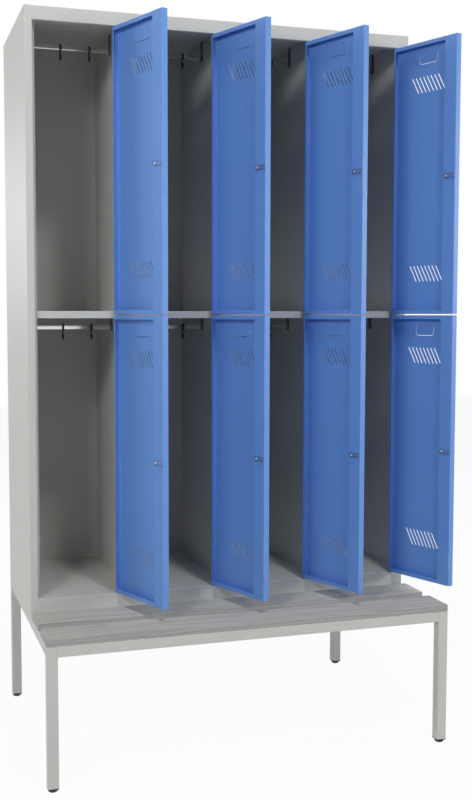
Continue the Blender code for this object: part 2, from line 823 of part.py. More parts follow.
# Hanging rail: a flat tube between two brackets, drawn about the middle of its axis
def rail_mesh(name, strap_top):
    """Return the mesh of a rail whose brackets reach up to strap_top above its axis."""
    inner_width = COLUMN_PITCH - 3 * SHEET / 2
    half = inner_width / 2 - FIT_GAP
    shoulder = half - BRACKET_THICKNESS
    tube_end = half - BRACKET_THICKNESS / 2
    bm = bmesh.new()
    add_box(bm, (-tube_end, -RAIL_WIDTH / 2, -RAIL_HEIGHT / 2), (tube_end, RAIL_WIDTH / 2, RAIL_HEIGHT / 2))
    long_edges = [edge for edge in bm.edges if abs(edge.verts[0].co.x - edge.verts[1].co.x) > tube_end]
    bmesh.ops.bevel(
        bm,
        geom=long_edges,
        offset=RAIL_CORNER,
        segments=BEND_STEPS,
        affect="EDGES",
        profile=0.5,
    )
    source = helper(name, to_mesh(bm, name))
    bosses = rods(
        f"{name}_bosses",
        [((-half, 0, 0), (-shoulder, 0, 0)), ((shoulder, 0, 0), (half, 0, 0))],
        BRACKET_RADIUS,
        BRACKET_SIDES,
    )
    straps = boxes(
        f"{name}_straps",
        [
            ((-half, -STRAP_WIDTH / 2, 0), (-shoulder, STRAP_WIDTH / 2, strap_top)),
            ((shoulder, -STRAP_WIDTH / 2, 0), (half, STRAP_WIDTH / 2, strap_top)),
        ],
    )
    bore_width = RAIL_WIDTH / 2 - RAIL_WALL
    bore_height = RAIL_HEIGHT / 2 - RAIL_WALL
    bore = boxes(
        f"{name}_bore",
        [((-half - OVERRUN, -bore_width, -bore_height), (half + OVERRUN, bore_width, bore_height))],
    )
    combine(source, bosses, "UNION")
    combine(source, straps, "UNION")
    combine(source, bore, "DIFFERENCE")
    mesh = baked(source)
    mesh.name = name
    mesh.materials.clear()
    return smooth(mesh)


# Coat hook: a ring that rides on the rail, and below it a curl that opens to the front, drawn about the
# rail's axis
def hook_mesh():
    """Return the mesh of a hook."""
    curl_z = -HOOK_DROP + HOOK_WIRE + HOOK_CURL
    points = []
    for step in range(HOOK_RING_STEPS + 1):
        angle = HOOK_RING_START + (HOOK_RING_END - HOOK_RING_START) * step / HOOK_RING_STEPS
        points.append((0, -HOOK_RING * math.sin(angle), HOOK_RING * math.cos(angle) - HOOK_SINK))
    points.append((0, HOOK_CURL, -HOOK_SINK - HOOK_RING - HOOK_SHOULDER))
    for step in range(HOOK_CURL_STEPS + 1):
        angle = math.pi * step / HOOK_CURL_STEPS
        points.append((0, HOOK_CURL * math.cos(angle), curl_z - HOOK_CURL * math.sin(angle)))
    points.append((0, -HOOK_CURL, curl_z + HOOK_TIP))
    curve = bpy.data.curves.new("hook_wire", "CURVE")
    curve.dimensions = "3D"
    curve.bevel_depth = HOOK_WIRE
    curve.bevel_resolution = 1
    curve.use_fill_caps = True
    spline = curve.splines.new("POLY")
    spline.points.add(len(points) - 1)
    for target, point in zip(spline.points, points):
        target.co = (*point, 1)
    mesh = baked(helper("hook_wire", curve))
    mesh.name = "hook"
    bm = bmesh.new()
    bm.from_mesh(mesh)
    bmesh.ops.remove_doubles(bm, verts=bm.verts[:], dist=MERGE_DISTANCE)
    bm.to_mesh(mesh)
    bm.free()
    mesh.materials.clear()
    return smooth(mesh)


RAIL_HEIGHTS = {"lower": SHELF_BASE - LOWER_RAIL_DROP, "upper": ROOF_UNDERSIDE - UPPER_RAIL_DROP}
RAIL_MESHES = {
    "lower": rail_mesh("rail_lower", LOWER_RAIL_DROP - FIT_GAP),
    "upper": rail_mesh("rail_upper", UPPER_RAIL_DROP - FIT_GAP),
}
HOOK_MESH = hook_mesh()
for column_number in range(1, COLUMNS + 1):
    wall_left, wall_right = column_walls(column_number)
    for tier, rail_height in RAIL_HEIGHTS.items():
        rail_middle = at((wall_left + wall_right) / 2, CABINET_DEPTH / 2, rail_height)
        place(f"rail_{column_number}_{tier}", RAIL_MESHES[tier], BRIGHT_STEEL, rail_middle)
        for side, along in HOOK_PLACES.items():
            hook_place = at((column_number - 1) * COLUMN_PITCH + along, CABINET_DEPTH / 2, rail_height)
            place(f"hook_{column_number}_{tier}_{side}", HOOK_MESH, BLACK_PLASTIC, hook_place)


# Base frame: a grid of square tube with four legs, open at their lower ends for the feet
BEAM_BASE = FRAME_TOP - TUBE
LEG_CORNERS = {
    "front_left": (0, -BENCH_REACH),
    "front_right": (CABINET_WIDTH - TUBE, -BENCH_REACH),
    "rear_left": (0, CABINET_DEPTH - TUBE),
    "rear_right": (CABINET_WIDTH - TUBE, CABINET_DEPTH - TUBE),
}
bearer_left = (CABINET_WIDTH - TUBE) / 2


def tubes(spans):
    """Return the mesh of square tubes with rounded long edges between pairs of corners."""
    bm = bmesh.new()
    for low, high in spans:
        made = add_box(bm, low, high)
        size = high - low
        long_way = max(range(3), key=lambda axis: size[axis])
        edges = {edge for vertex in made for edge in vertex.link_edges}
        long_edges = [edge for edge in edges if abs((edge.verts[0].co - edge.verts[1].co)[long_way]) > TUBE]
        bmesh.ops.bevel(
            bm,
            geom=long_edges,
            offset=TUBE_CORNER,
            segments=BEND_STEPS,
            affect="EDGES",
            profile=0.5,
        )
    return to_mesh(bm, "tubes")


inside_left = TUBE / 2
inside_right = CABINET_WIDTH - TUBE / 2
inside_front = -BENCH_REACH + TUBE / 2
inside_rear = CABINET_DEPTH - TUBE / 2
frame = place(
    "base_frame",
    tubes([(at(x, y, FOOT_HEIGHT), at(x + TUBE, y + TUBE, FRAME_TOP)) for x, y in LEG_CORNERS.values()]),
    GREY_PAINT,
)
cross_beams = helper(
    "cross_beams",
    tubes(
        [
            (at(0, inside_front, BEAM_BASE), at(TUBE, inside_rear, FRAME_TOP)),
            (at(CABINET_WIDTH - TUBE, inside_front, BEAM_BASE), at(CABINET_WIDTH, inside_rear, FRAME_TOP)),
        ]
    ),
)
long_beams = helper(
    "long_beams",
    tubes(
        [
            (at(inside_left, y, BEAM_BASE), at(inside_right, y + TUBE, FRAME_TOP))
            for y in (-BENCH_REACH, 0, CABINET_DEPTH - TUBE)
        ]
    ),
)
bearer = helper(
    "bearer",
    tubes([(at(bearer_left, inside_front, BEAM_BASE), at(bearer_left + TUBE, TUBE / 2, FRAME_TOP))]),
)
sockets = boxes(
    "foot_sockets",
    [
        (
            at(x + TUBE_WALL, y + TUBE_WALL, FOOT_HEIGHT - OVERRUN),
            at(x + TUBE - TUBE_WALL, y + TUBE - TUBE_WALL, FOOT_HEIGHT + 2 * FOOT_STEM),
        )
        for x, y in LEG_CORNERS.values()
    ],
)
for beams in (cross_beams, long_beams, bearer):
    combine(frame, beams, "UNION")
combine(frame, sockets, "DIFFERENCE")


# Feet: plastic glides with a square flange under the leg, a stem that plugs into it and a domed sole below.
# The sole's outline is in shares of its greatest radius and of its height.
SOLE_SHARES = ((1, 1), (0.97, 0.62), (0.88, 0.27), (0.75, 0.07), (0.62, 0))


def foot_mesh():
    """Return the mesh of a foot, drawn about its axis from the ground up."""
    stem = TUBE / 2 - TUBE_WALL - FIT_GAP
    flange_top = FOOT_HEIGHT - FIT_GAP
    flange_base = flange_top - FOOT_FLANGE
    seat = flange_top - FOOT_FLANGE / 2
    stem_top = flange_top + FOOT_STEM
    profile = [(0, stem_top), (stem, stem_top), (stem, seat), (FOOT_RADIUS, seat)]
    for radius_share, height_share in SOLE_SHARES:
        profile.append((radius_share * FOOT_RADIUS, height_share * flange_base))
    profile.append((0, 0))
    body_mesh = turned("foot_body", profile, FOOT_SIDES)
    flange_mesh = bmesh.new()
    add_box(flange_mesh, (-TUBE / 2, -TUBE / 2, flange_base), (TUBE / 2, TUBE / 2, flange_top))
    corners = [
        edge for edge in flange_mesh.edges if abs(edge.verts[0].co.z - edge.verts[1].co.z) > FOOT_FLANGE / 2
    ]
    bmesh.ops.bevel(
        flange_mesh,
        geom=corners,
        offset=TUBE_CORNER,
        segments=BEND_STEPS,
        affect="EDGES",
        profile=0.5,
    )
    source = helper("foot_source", body_mesh)
    combine(source, helper("foot_flange", to_mesh(flange_mesh, "foot_flange")), "UNION")
    mesh = baked(source)
    mesh.name = "foot"
    mesh.materials.clear()
    return smooth(mesh)


FOOT_MESH = foot_mesh()
for corner, (leg_x, leg_y) in LEG_CORNERS.items():
    place(f"foot_{corner}", FOOT_MESH, BLACK_PLASTIC, at(leg_x + TUBE / 2, leg_y + TUBE / 2, 0))


# Bench planks, lying on the frame
def plank(name, front_y):
    """Make a plank whose front edge is at front_y."""
    bm = bmesh.new()
    base = FRAME_TOP + FIT_GAP
    add_box(bm, at(0, front_y, base), at(CABINET_WIDTH, front_y + PLANK_WIDTH, base + PLANK_THICKNESS))
    made = place(name, to_mesh(bm, name), GREY_WOOD)
    edge = made.modifiers.new("eased_edges", "BEVEL")
    edge.width = PLANK_EDGE
    edge.segments = 2


plank("plank_front", -BENCH_REACH)
plank("plank_rear", -BENCH_REACH + PLANK_WIDTH + PLANK_GAP)
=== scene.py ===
"""Steel locker with eight compartments on a tube frame that carries a bench in front of it.

Lengths are metres and +Z is up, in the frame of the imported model. The doors stand open at rest.
"""

import json
import math

import bmesh
import bpy
from mathutils import Euler, Matrix, Vector


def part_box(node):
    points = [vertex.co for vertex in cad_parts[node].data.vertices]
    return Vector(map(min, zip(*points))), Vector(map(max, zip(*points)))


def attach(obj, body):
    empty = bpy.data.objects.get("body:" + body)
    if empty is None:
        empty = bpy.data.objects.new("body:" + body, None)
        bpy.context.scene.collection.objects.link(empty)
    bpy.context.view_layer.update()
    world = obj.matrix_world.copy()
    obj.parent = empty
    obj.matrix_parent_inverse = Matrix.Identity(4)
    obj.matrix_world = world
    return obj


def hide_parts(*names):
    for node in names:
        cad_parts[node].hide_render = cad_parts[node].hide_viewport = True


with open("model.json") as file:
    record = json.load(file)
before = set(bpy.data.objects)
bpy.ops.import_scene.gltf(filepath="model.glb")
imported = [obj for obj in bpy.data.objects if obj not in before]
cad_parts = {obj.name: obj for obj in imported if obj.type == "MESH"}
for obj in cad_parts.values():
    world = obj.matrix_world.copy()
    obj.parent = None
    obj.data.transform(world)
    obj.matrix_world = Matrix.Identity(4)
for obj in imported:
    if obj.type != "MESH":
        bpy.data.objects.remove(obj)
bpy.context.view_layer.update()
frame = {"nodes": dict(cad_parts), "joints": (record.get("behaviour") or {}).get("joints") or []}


# Camera
# It stands left of the locker, a little above the middle of its height, and looks slightly down and to the
# right, as the photograph was taken. The shift keeps the photograph's framing.
CAMERA_PLACE = (-1.048928, -3.211414, 1.288966)
CAMERA_TURN = math.radians(-17.0769)
CAMERA_DIP = math.radians(4.1562)
CAMERA_LENS_MM = 48.47
CAMERA_SENSOR_MM = 36.0
CAMERA_SHIFT = (0.03755, -0.0099)

camera_data = bpy.data.cameras.new("camera")
camera_data.lens = CAMERA_LENS_MM
camera_data.sensor_width = CAMERA_SENSOR_MM
camera_data.shift_x, camera_data.shift_y = CAMERA_SHIFT
camera = bpy.data.objects.new("camera", camera_data)
camera.location = CAMERA_PLACE
camera.rotation_euler = Euler((math.pi / 2 - CAMERA_DIP, 0, CAMERA_TURN))
bpy.context.scene.collection.objects.link(camera)
bpy.context.scene.camera = camera


# Studio
# A pale floor under a white surround, lit by soft square lamps. The surround looks white to the camera and
# in reflections, and gives only a little light of its own.
FLOOR_REACH = 12.0
FLOOR_COLOUR = (0.86, 0.86, 0.86, 1)
FLOOR_GLOW_SHARE = 0.95
SURROUND_WHITE = (1, 1, 1, 1)
SURROUND_LIGHT = 0.02
LAMP_AIM = (0, -0.1, 1.1)


def add_node(tree, kind, **settings):
    """Add a node to a tree and set its properties."""
    made = tree.nodes.new(kind)
    for name, value in settings.items():
        setattr(made, name, value)
    return made


# Sockets of a Mix node that mixes colours, and of a Random Value node that gives a number
MIX_FIRST, MIX_SECOND, MIXED = 6, 7, 2
RANDOM_LEAST, RANDOM_MOST, RANDOM_NUMBER = 2, 3, 1


def add_range(tree, start=(0, 1), end=(0, 1), **settings):
    """Add a node that carries one range of values over to another."""
    made = add_node(tree, "ShaderNodeMapRange", **settings)
    made.inputs["From Min"].default_value, made.inputs["From Max"].default_value = start
    made.inputs["To Min"].default_value, made.inputs["To Max"].default_value = end
    return made


def join_nodes(tree, *links):
    """Link nodes of a tree, each link given as a node, its output, the next node and its input."""
    for source, output, target, socket in links:
        tree.links.new(source.outputs[output], target.inputs[socket])


def new_finish(name):
    """Return a new material with its tree and its shader."""
    made = bpy.data.materials.new(name)
    made.use_nodes = True
    return made, made.node_tree, made.node_tree.nodes["Principled BSDF"]


def sees_surround(tree):
    """Return an output that is one for camera, glossy and transmission rays, and zero for the rest."""
    path = add_node(tree, "ShaderNodeLightPath")
    first = add_node(tree, "ShaderNodeMath", operation="ADD", use_clamp=True)
    both = add_node(tree, "ShaderNodeMath", operation="ADD", use_clamp=True)
    join_nodes(
        tree,
        (path, "Is Camera Ray", first, 0),
        (path, "Is Glossy Ray", first, 1),
        (first, 0, both, 0),
        (path, "Is Transmission Ray", both, 1),
    )
    return both.outputs[0]


surround = bpy.data.worlds.new("surround")
surround.use_nodes = True
tree = surround.node_tree
tree.nodes.clear()
seen = add_node(tree, "ShaderNodeBackground")
seen.inputs["Color"].default_value = SURROUND_WHITE
light = add_node(tree, "ShaderNodeBackground")
light.inputs["Color"].default_value = SURROUND_WHITE
light.inputs["Strength"].default_value = SURROUND_LIGHT
choice = add_node(tree, "ShaderNodeMixShader")
result = add_node(tree, "ShaderNodeOutputWorld")
tree.links.new(sees_surround(tree), choice.inputs["Fac"])
join_nodes(
    tree,
    (light, 0, choice, 1),
    (seen, 0, choice, 2),
    (choice, 0, result, "Surface"),
)
bpy.context.scene.world = surround

bm = bmesh.new()
bmesh.ops.create_grid(bm, x_segments=1, y_segments=1, size=FLOOR_REACH)
floor_mesh = bpy.data.meshes.new("studio_floor")
bm.to_mesh(floor_mesh)
bm.free()
studio_floor = bpy.data.objects.new("studio_floor", floor_mesh)
bpy.context.scene.collection.objects.link(studio_floor)
floor_finish = bpy.data.materials.new("studio_floor")
floor_finish.use_nodes = True
tree = floor_finish.node_tree
tree.nodes.clear()
matt = add_node(tree, "ShaderNodeBsdfDiffuse")
matt.inputs["Color"].default_value = FLOOR_COLOUR
glow = add_node(tree, "ShaderNodeEmission")
glow.inputs["Color"].default_value = SURROUND_WHITE
share = add_node(tree, "ShaderNodeMath", operation="MULTIPLY")
share.inputs[1].default_value = FLOOR_GLOW_SHARE
choice = add_node(tree, "ShaderNodeMixShader")
result = add_node(tree, "ShaderNodeOutputMaterial")
tree.links.new(sees_surround(tree), share.inputs[0])
join_nodes(
    tree,
    (share, 0, choice, "Fac"),
    (matt, 0, choice, 1),
    (glow, 0, choice, 2),
    (choice, 0, result, "Surface"),
)
floor_mesh.materials.append(floor_finish)

# Name, degrees to the left of the front and above the aim, distance, width and power of each lamp
LAMPS = (
    ("lamp_front_high", -6, 55, 5.1, 0.6, 60),
    ("lamp_front_left", 40.5, 28, 3.65, 0.6, 34),
    ("lamp_left_front", 50, 12, 6.0, 1.2, 34),
    ("lamp_left", 105, 12, 7.0, 1.2, 70),
    ("lamp_left_rear", 148, 10, 4.6, 1.0, 17),
    ("lamp_rear", -160, 25, 5.0, 1.4, 75),
    ("lamp_right", -70, 10, 4.5, 1.2, 50),
    ("lamp_right_front", -45, 5, 6.0, 1.2, 46),
    ("lamp_overhead", 0, 76, 8.0, 2.0, 80),
)
for name, aside, above, distance, width, power in LAMPS:
    turn = Euler((math.radians(-above), 0, math.radians(-aside))).to_matrix()
    place = Vector(LAMP_AIM) + turn @ Vector((0, -distance, 0))
    lamp_data = bpy.data.lights.new(name, "AREA")
    lamp_data.shape = "SQUARE"
    lamp_data.size = width
    lamp_data.energy = power
    lamp = bpy.data.objects.new(name, lamp_data)
    lamp.location = place
    lamp.rotation_euler = (Vector(LAMP_AIM) - place).to_track_quat("-Z", "Y").to_euler()
    bpy.context.scene.collection.objects.link(lamp)

bpy.context.scene.view_settings.view_transform = "Standard"


# Base frame
# Square steel tube, welded into a grid with four legs, ground flush on top and powder coated light grey. The
# welds are laid on the solid's corners as fine beads.
GREY_PAINT = (0.635, 0.635, 0.61, 1)
GREY_PAINT_ROUGHNESS = 0.42
COAT_SPECULAR = 0.3
PAINT_PEEL = 0.00022
PAINT_PEEL_STRENGTH = 0.10
PEEL_SCALE = 700.0
PEEL_DETAIL = 1.5
DRIFT_SCALE = 5.0
DRIFT_DETAIL = 3
DRIFT_DEPTH = 0.035
ROUGHNESS_DRIFT = 0.10
EDGE_RADIUS = 0.0009
# Edges are painted paler, towards white, in patches: partly worn paint, partly a painted highlight
WEAR_AND_HIGHLIGHT_RADIUS = 0.0022
WEAR_AND_HIGHLIGHT_SHARE = 0.30
WEAR_AND_HIGHLIGHT_PATCH_SCALE = 55.0
WEAR_AND_HIGHLIGHT_PATCH_DETAIL = 4
WEAR_AND_HIGHLIGHT_PATCH_RANGE = (0.42, 0.66)
# Cosine between the true and the softened surface where the pale edge of wear and painted highlight starts
# and where it is full
WEAR_AND_HIGHLIGHT_EDGE_RANGE = (0.995, 0.90)
WORN_AND_HIGHLIT_TONE = (1, 1, 1, 1)
BEVEL_SAMPLES = 3
SEAM_CORNER = 0.0016
SEAM_CORNER_POINTS = 3
BEAD_PITCH = 0.0011
BEAD_RADIUS = 0.0010
BEAD_SUBDIVISIONS = 2
BEAD_SIZE_SHARES = (0.75, 1.1)
BEAD_SEED = 4


def add_group(name, inputs, outputs):
    """Start a shader group with named number, colour or vector sockets, and return it with its two ends."""
    group = bpy.data.node_groups.new(name, "ShaderNodeTree")
    for way, sockets in (("INPUT", inputs), ("OUTPUT", outputs)):
        for label, kind in sockets.items():
            group.interface.new_socket(name=label, in_out=way, socket_type=f"NodeSocket{kind}")
    return group, group.nodes.new("NodeGroupInput"), group.nodes.new("NodeGroupOutput")


def coat_group():
    """Build the look of powder coat: a slow drift of tone and gloss, orange peel, and pale edges that are
    partly wear and partly a painted highlight.
    """
    group, given, out = add_group(
        "powder_coat",
        {"Colour": "Color", "Roughness": "Float", "Peel Scale": "Float", "Wear And Highlight": "Float"},
        {"Colour": "Color", "Roughness": "Float", "Peel": "Float"},
    )
    place = add_node(group, "ShaderNodeTexCoord")
    drift = add_node(group, "ShaderNodeTexNoise")
    drift.inputs["Scale"].default_value = DRIFT_SCALE
    drift.inputs["Detail"].default_value = DRIFT_DETAIL
    peel = add_node(group, "ShaderNodeTexNoise")
    peel.inputs["Detail"].default_value = PEEL_DETAIL
    patches = add_node(group, "ShaderNodeTexNoise")
    patches.inputs["Scale"].default_value = WEAR_AND_HIGHLIGHT_PATCH_SCALE
    patches.inputs["Detail"].default_value = WEAR_AND_HIGHLIGHT_PATCH_DETAIL
    for pattern in (drift, peel, patches):
        join_nodes(group, (place, "Object", pattern, "Vector"))
    join_nodes(
        group,
        (given, "Peel Scale", peel, "Scale"),
        (peel, "Fac", out, "Peel"),
    )

    # Tone
    tone = add_range(group, end=(1 - DRIFT_DEPTH, 1 + DRIFT_DEPTH))
    toned = add_node(group, "ShaderNodeVectorMath", operation="SCALE")
    join_nodes(
        group,
        (drift, "Fac", tone, "Value"),
        (given, "Colour", toned, 0),
        (tone, "Result", toned, "Scale"),
    )

    # Pale edges: partly worn paint, partly a painted highlight along the folds
    rounded = add_node(group, "ShaderNodeBevel", samples=BEVEL_SAMPLES)
    rounded.inputs["Radius"].default_value = WEAR_AND_HIGHLIGHT_RADIUS
    flat = add_node(group, "ShaderNodeNewGeometry")
    match = add_node(group, "ShaderNodeVectorMath", operation="DOT_PRODUCT")
    edge = add_range(group, start=WEAR_AND_HIGHLIGHT_EDGE_RANGE)
    patchy = add_range(group, start=WEAR_AND_HIGHLIGHT_PATCH_RANGE)
    mask = add_node(group, "ShaderNodeMath", operation="MULTIPLY")
    amount = add_node(group, "ShaderNodeMath", operation="MULTIPLY")
    join_nodes(
        group,
        (rounded, "Normal", match, 0),
        (flat, "True Normal", match, 1),
        (match, "Value", edge, "Value"),
        (patches, "Fac", patchy, "Value"),
        (edge, "Result", mask, 0),
        (patchy, "Result", mask, 1),
        (mask, 0, amount, 0),
        (given, "Wear And Highlight", amount, 1),
    )
    pale_edges = add_node(group, "ShaderNodeMix", data_type="RGBA")
    pale_edges.inputs[MIX_SECOND].default_value = WORN_AND_HIGHLIT_TONE
    join_nodes(
        group,
        (amount, 0, pale_edges, "Factor"),
        (toned, 0, pale_edges, MIX_FIRST),
        (pale_edges, MIXED, out, "Colour"),
    )

    # Gloss
    gloss = add_range(group, end=(-ROUGHNESS_DRIFT / 2, ROUGHNESS_DRIFT / 2))
    glossed = add_node(group, "ShaderNodeMath", operation="ADD", use_clamp=True)
    join_nodes(
        group,
        (drift, "Fac", gloss, "Value"),
        (gloss, "Result", glossed, 0),
        (given, "Roughness", glossed, 1),
        (glossed, 0, out, "Roughness"),
    )
    return group


POWDER_COAT = coat_group()


def powder_coated(name, colour, roughness, edge=EDGE_RADIUS, wear_and_highlight=WEAR_AND_HIGHLIGHT_SHARE):
    """Return a powder coat of one colour, with its sharp folds softened and their pale edges of wear and
    painted highlight shown.
    """
    made, tree, shader = new_finish(name)
    shader.inputs["Specular IOR Level"].default_value = COAT_SPECULAR
    coat = add_node(tree, "ShaderNodeGroup", node_tree=POWDER_COAT)
    coat.inputs["Colour"].default_value = colour
    coat.inputs["Roughness"].default_value = roughness
    coat.inputs["Peel Scale"].default_value = PEEL_SCALE
    coat.inputs["Wear And Highlight"].default_value = wear_and_highlight
    soft = add_node(tree, "ShaderNodeBevel", samples=BEVEL_SAMPLES)
    soft.inputs["Radius"].default_value = edge
    bump = add_node(tree, "ShaderNodeBump")
    bump.inputs["Strength"].default_value = PAINT_PEEL_STRENGTH
    bump.inputs["Distance"].default_value = PAINT_PEEL
    join_nodes(
        tree,
        (coat, "Colour", shader, "Base Color"),
        (coat, "Roughness", shader, "Roughness"),
        (coat, "Peel", bump, "Height"),
        (soft, "Normal", bump, "Normal"),
        (bump, "Normal", shader, "Normal"),
    )
    return made


def finish_nodes(material, *names):
    """Give CAD nodes a material."""
    for name in names:
        frame["nodes"][name].material_slots[0].material = material


grey_coat = powder_coated("light_grey_powder_coat", GREY_PAINT, GREY_PAINT_ROUGHNESS)
finish_nodes(grey_coat, "base_frame")


def add_growth(name, **inputs):
    """Start a Geometry Nodes tree with named inputs, and return it with its two ends."""
    group = bpy.data.node_groups.new(name, "GeometryNodeTree")
    group.interface.new_socket(name="Geometry", in_out="INPUT", socket_type="NodeSocketGeometry")
    for label, kind in inputs.items():
        group.interface.new_socket(name=label, in_out="INPUT", socket_type=f"NodeSocket{kind}")
    group.interface.new_socket(name="Geometry", in_out="OUTPUT", socket_type="NodeSocketGeometry")
    return group, group.nodes.new("NodeGroupInput"), group.nodes.new("NodeGroupOutput")


def grown(name, group, start, **sizes):
    """Run a Geometry Nodes tree on a mesh and return what it makes as a plain mesh."""
    carrier = bpy.data.objects.new(name, start)
    bpy.context.scene.collection.objects.link(carrier)
    growth = carrier.modifiers.new(name, "NODES")
    growth.node_group = group
    for socket in group.interface.items_tree:
        if socket.in_out == "INPUT" and socket.name in sizes:
            growth[socket.identifier] = sizes[socket.name]
    bpy.context.view_layer.update()
    mesh = bpy.data.meshes.new_from_object(carrier.evaluated_get(bpy.context.evaluated_depsgraph_get()))
    mesh.name = name
    bpy.data.objects.remove(carrier)
    return mesh


def add_piece(name, mesh, body, stands_for=()):
    """Add a piece of the locker that moves with a body."""
    made = bpy.data.objects.new(name, mesh)
    bpy.context.scene.collection.objects.link(made)
    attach(made, body)
    if stands_for:
        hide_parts(*stands_for)
    return made


def path_mesh(name, paths):
    """Return a mesh of edges that follow several paths of points."""
    points = [point for path in paths for point in path]
    edges = []
    first = 0
    for path in paths:
        edges += [(number, number + 1) for number in range(first, first + len(path) - 1)]
        first += len(path)
    mesh = bpy.data.meshes.new(name)
    mesh.from_pydata(points, edges, [])
    return mesh


def finish_growth(group, last, given, out):
    """Close a Geometry Nodes tree: make its copies real, shade them smooth and give them their finish."""
    real = add_node(group, "GeometryNodeRealizeInstances")
    smooth = add_node(group, "GeometryNodeSetShadeSmooth")
    coated = add_node(group, "GeometryNodeSetMaterial")
    group.links.new(last, real.inputs["Geometry"])
    join_nodes(
        group,
        (real, "Geometry", smooth, "Geometry"),
        (smooth, "Geometry", coated, "Geometry"),
        (given, "Finish", coated, "Material"),
        (coated, "Geometry", out, "Geometry"),
    )


def weld_bead_growth():
    """Build the tree that lays a row of overlapping drops of weld along a path."""
    group, given, out = add_growth(
        "weld_bead", Corner="Float", Pitch="Float", Radius="Float", Seed="Int", Finish="Material"
    )
    route = add_node(group, "GeometryNodeMeshToCurve")
    rounded = add_node(group, "GeometryNodeFilletCurve", mode="POLY")
    rounded.inputs["Count"].default_value = SEAM_CORNER_POINTS
    spaced = add_node(group, "GeometryNodeResampleCurve", mode="LENGTH")
    drop = add_node(group, "GeometryNodeMeshIcoSphere")
    drop.inputs["Subdivisions"].default_value = BEAD_SUBDIVISIONS
    uneven = add_node(group, "FunctionNodeRandomValue", data_type="FLOAT")
    uneven.inputs[RANDOM_LEAST].default_value, uneven.inputs[RANDOM_MOST].default_value = BEAD_SIZE_SHARES
    laid = add_node(group, "GeometryNodeInstanceOnPoints")
    join_nodes(
        group,
        (given, "Geometry", route, "Mesh"),
        (route, "Curve", rounded, "Curve"),
        (given, "Corner", rounded, "Radius"),
        (rounded, "Curve", spaced, "Curve"),
        (given, "Pitch", spaced, "Length"),
        (spaced, "Curve", laid, "Points"),
        (given, "Radius", drop, "Radius"),
        (drop, "Mesh", laid, "Instance"),
        (given, "Seed", uneven, "Seed"),
        (uneven, RANDOM_NUMBER, laid, "Scale"),
    )
    finish_growth(group, laid.outputs["Instances"], given, out)
    return group


WELD_BEAD = weld_bead_growth()

frame_low, frame_high = (Vector(corner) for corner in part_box("base_frame"))
foot_low, foot_high = (Vector(corner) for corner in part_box("foot_front_left"))
cabinet_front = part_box("side_left")[0][1]
tube = foot_high.x - foot_low.x
beam_base = frame_high.z - tube
inner_left, inner_right = frame_low.x + tube, frame_high.x - tube
inner_front, inner_rear = frame_low.y + tube, frame_high.y - tube
bearer_left = (frame_low.x + frame_high.x - tube) / 2


def seam_under(first, second):
    """Return the path of a seam down one side of a beam, under it and up the other side."""
    (x1, y1), (x2, y2) = first, second
    return [(x1, y1, frame_high.z), (x1, y1, beam_base), (x2, y2, beam_base), (x2, y2, frame_high.z)]


seams = []
for x in (inner_left, inner_right):
    for y in (frame_low.y, cabinet_front, inner_rear):
        seams.append(seam_under((x, y), (x, y + tube)))
for y in (inner_front, inner_rear):
    for x in (frame_low.x, inner_right):
        seams.append(seam_under((x, y), (x + tube, y)))
for y in (inner_front, cabinet_front):
    seams.append(seam_under((bearer_left, y), (bearer_left + tube, y)))
frame_welds = grown(
    "frame_welds",
    WELD_BEAD,
    path_mesh("seams", seams),
    Corner=SEAM_CORNER,
    Pitch=BEAD_PITCH,
    Radius=BEAD_RADIUS,
    Seed=BEAD_SEED,
    Finish=grey_coat,
)
add_piece("frame_welds", frame_welds, "cabinet")


# Feet
# Black plastic glides pressed into the open ends of the legs: a thin square flange the size of the tube, and
# a shallow dome under it that slides on the floor.
CLOUD_DETAIL = 3
CLOUD_RANGE = (0.3, 0.7)
GRAINS_PER_CLOUD = 20
GRAIN_DETAIL = 2
GRAIN_STRENGTH = 0.3
EVEN_GRAIN = (1, 1, 1)
PLASTIC_BLACK = ((0.018, 0.018, 0.019, 1), (0.0288, 0.0288, 0.0304, 1))
PLASTIC_ROUGHNESS = (0.40, 0.56)
PLASTIC_GRAIN_SCALE = 1400.0
PLASTIC_GRAIN = 0.00012
CREASE_ANGLE = math.radians(32)
ROUND_PROFILE = 0.5
FLANGE_HEIGHT = 0.003
FLANGE_EDGE = 0.0006
SOLE_SIDES = 48
# Shares of the sole's radius and of the height under the flange
SOLE_OUTLINE_SHARES = (
    (0, 0),
    (0.60, 0),
    (0.70, 0.03),
    (0.80, 0.12),
    (0.89, 0.28),
    (0.95, 0.5),
    (0.985, 0.78),
    (1, 1),
)


def surface_marks_group():
    """Build the marks that metal and plastic share: slow clouds of gloss, and a fine grain or brushing."""
    group, given, out = add_group(
        "surface_marks",
        {"Cloud Scale": "Float", "Grain Scale": "Float", "Grain Stretch": "Vector"},
        {"Clouds": "Float", "Grain": "Float"},
    )
    place = add_node(group, "ShaderNodeTexCoord")
    clouds = add_node(group, "ShaderNodeTexNoise")
    clouds.inputs["Detail"].default_value = CLOUD_DETAIL
    drawn = add_node(group, "ShaderNodeVectorMath", operation="MULTIPLY")
    grain = add_node(group, "ShaderNodeTexNoise")
    grain.inputs["Detail"].default_value = GRAIN_DETAIL
    join_nodes(
        group,
        (place, "Object", clouds, "Vector"),
        (given, "Cloud Scale", clouds, "Scale"),
        (place, "Object", drawn, 0),
        (given, "Grain Stretch", drawn, 1),
        (drawn, 0, grain, "Vector"),
        (given, "Grain Scale", grain, "Scale"),
        (clouds, "Fac", out, "Clouds"),
        (grain, "Fac", out, "Grain"),
    )
    return group


SURFACE_MARKS = surface_marks_group()


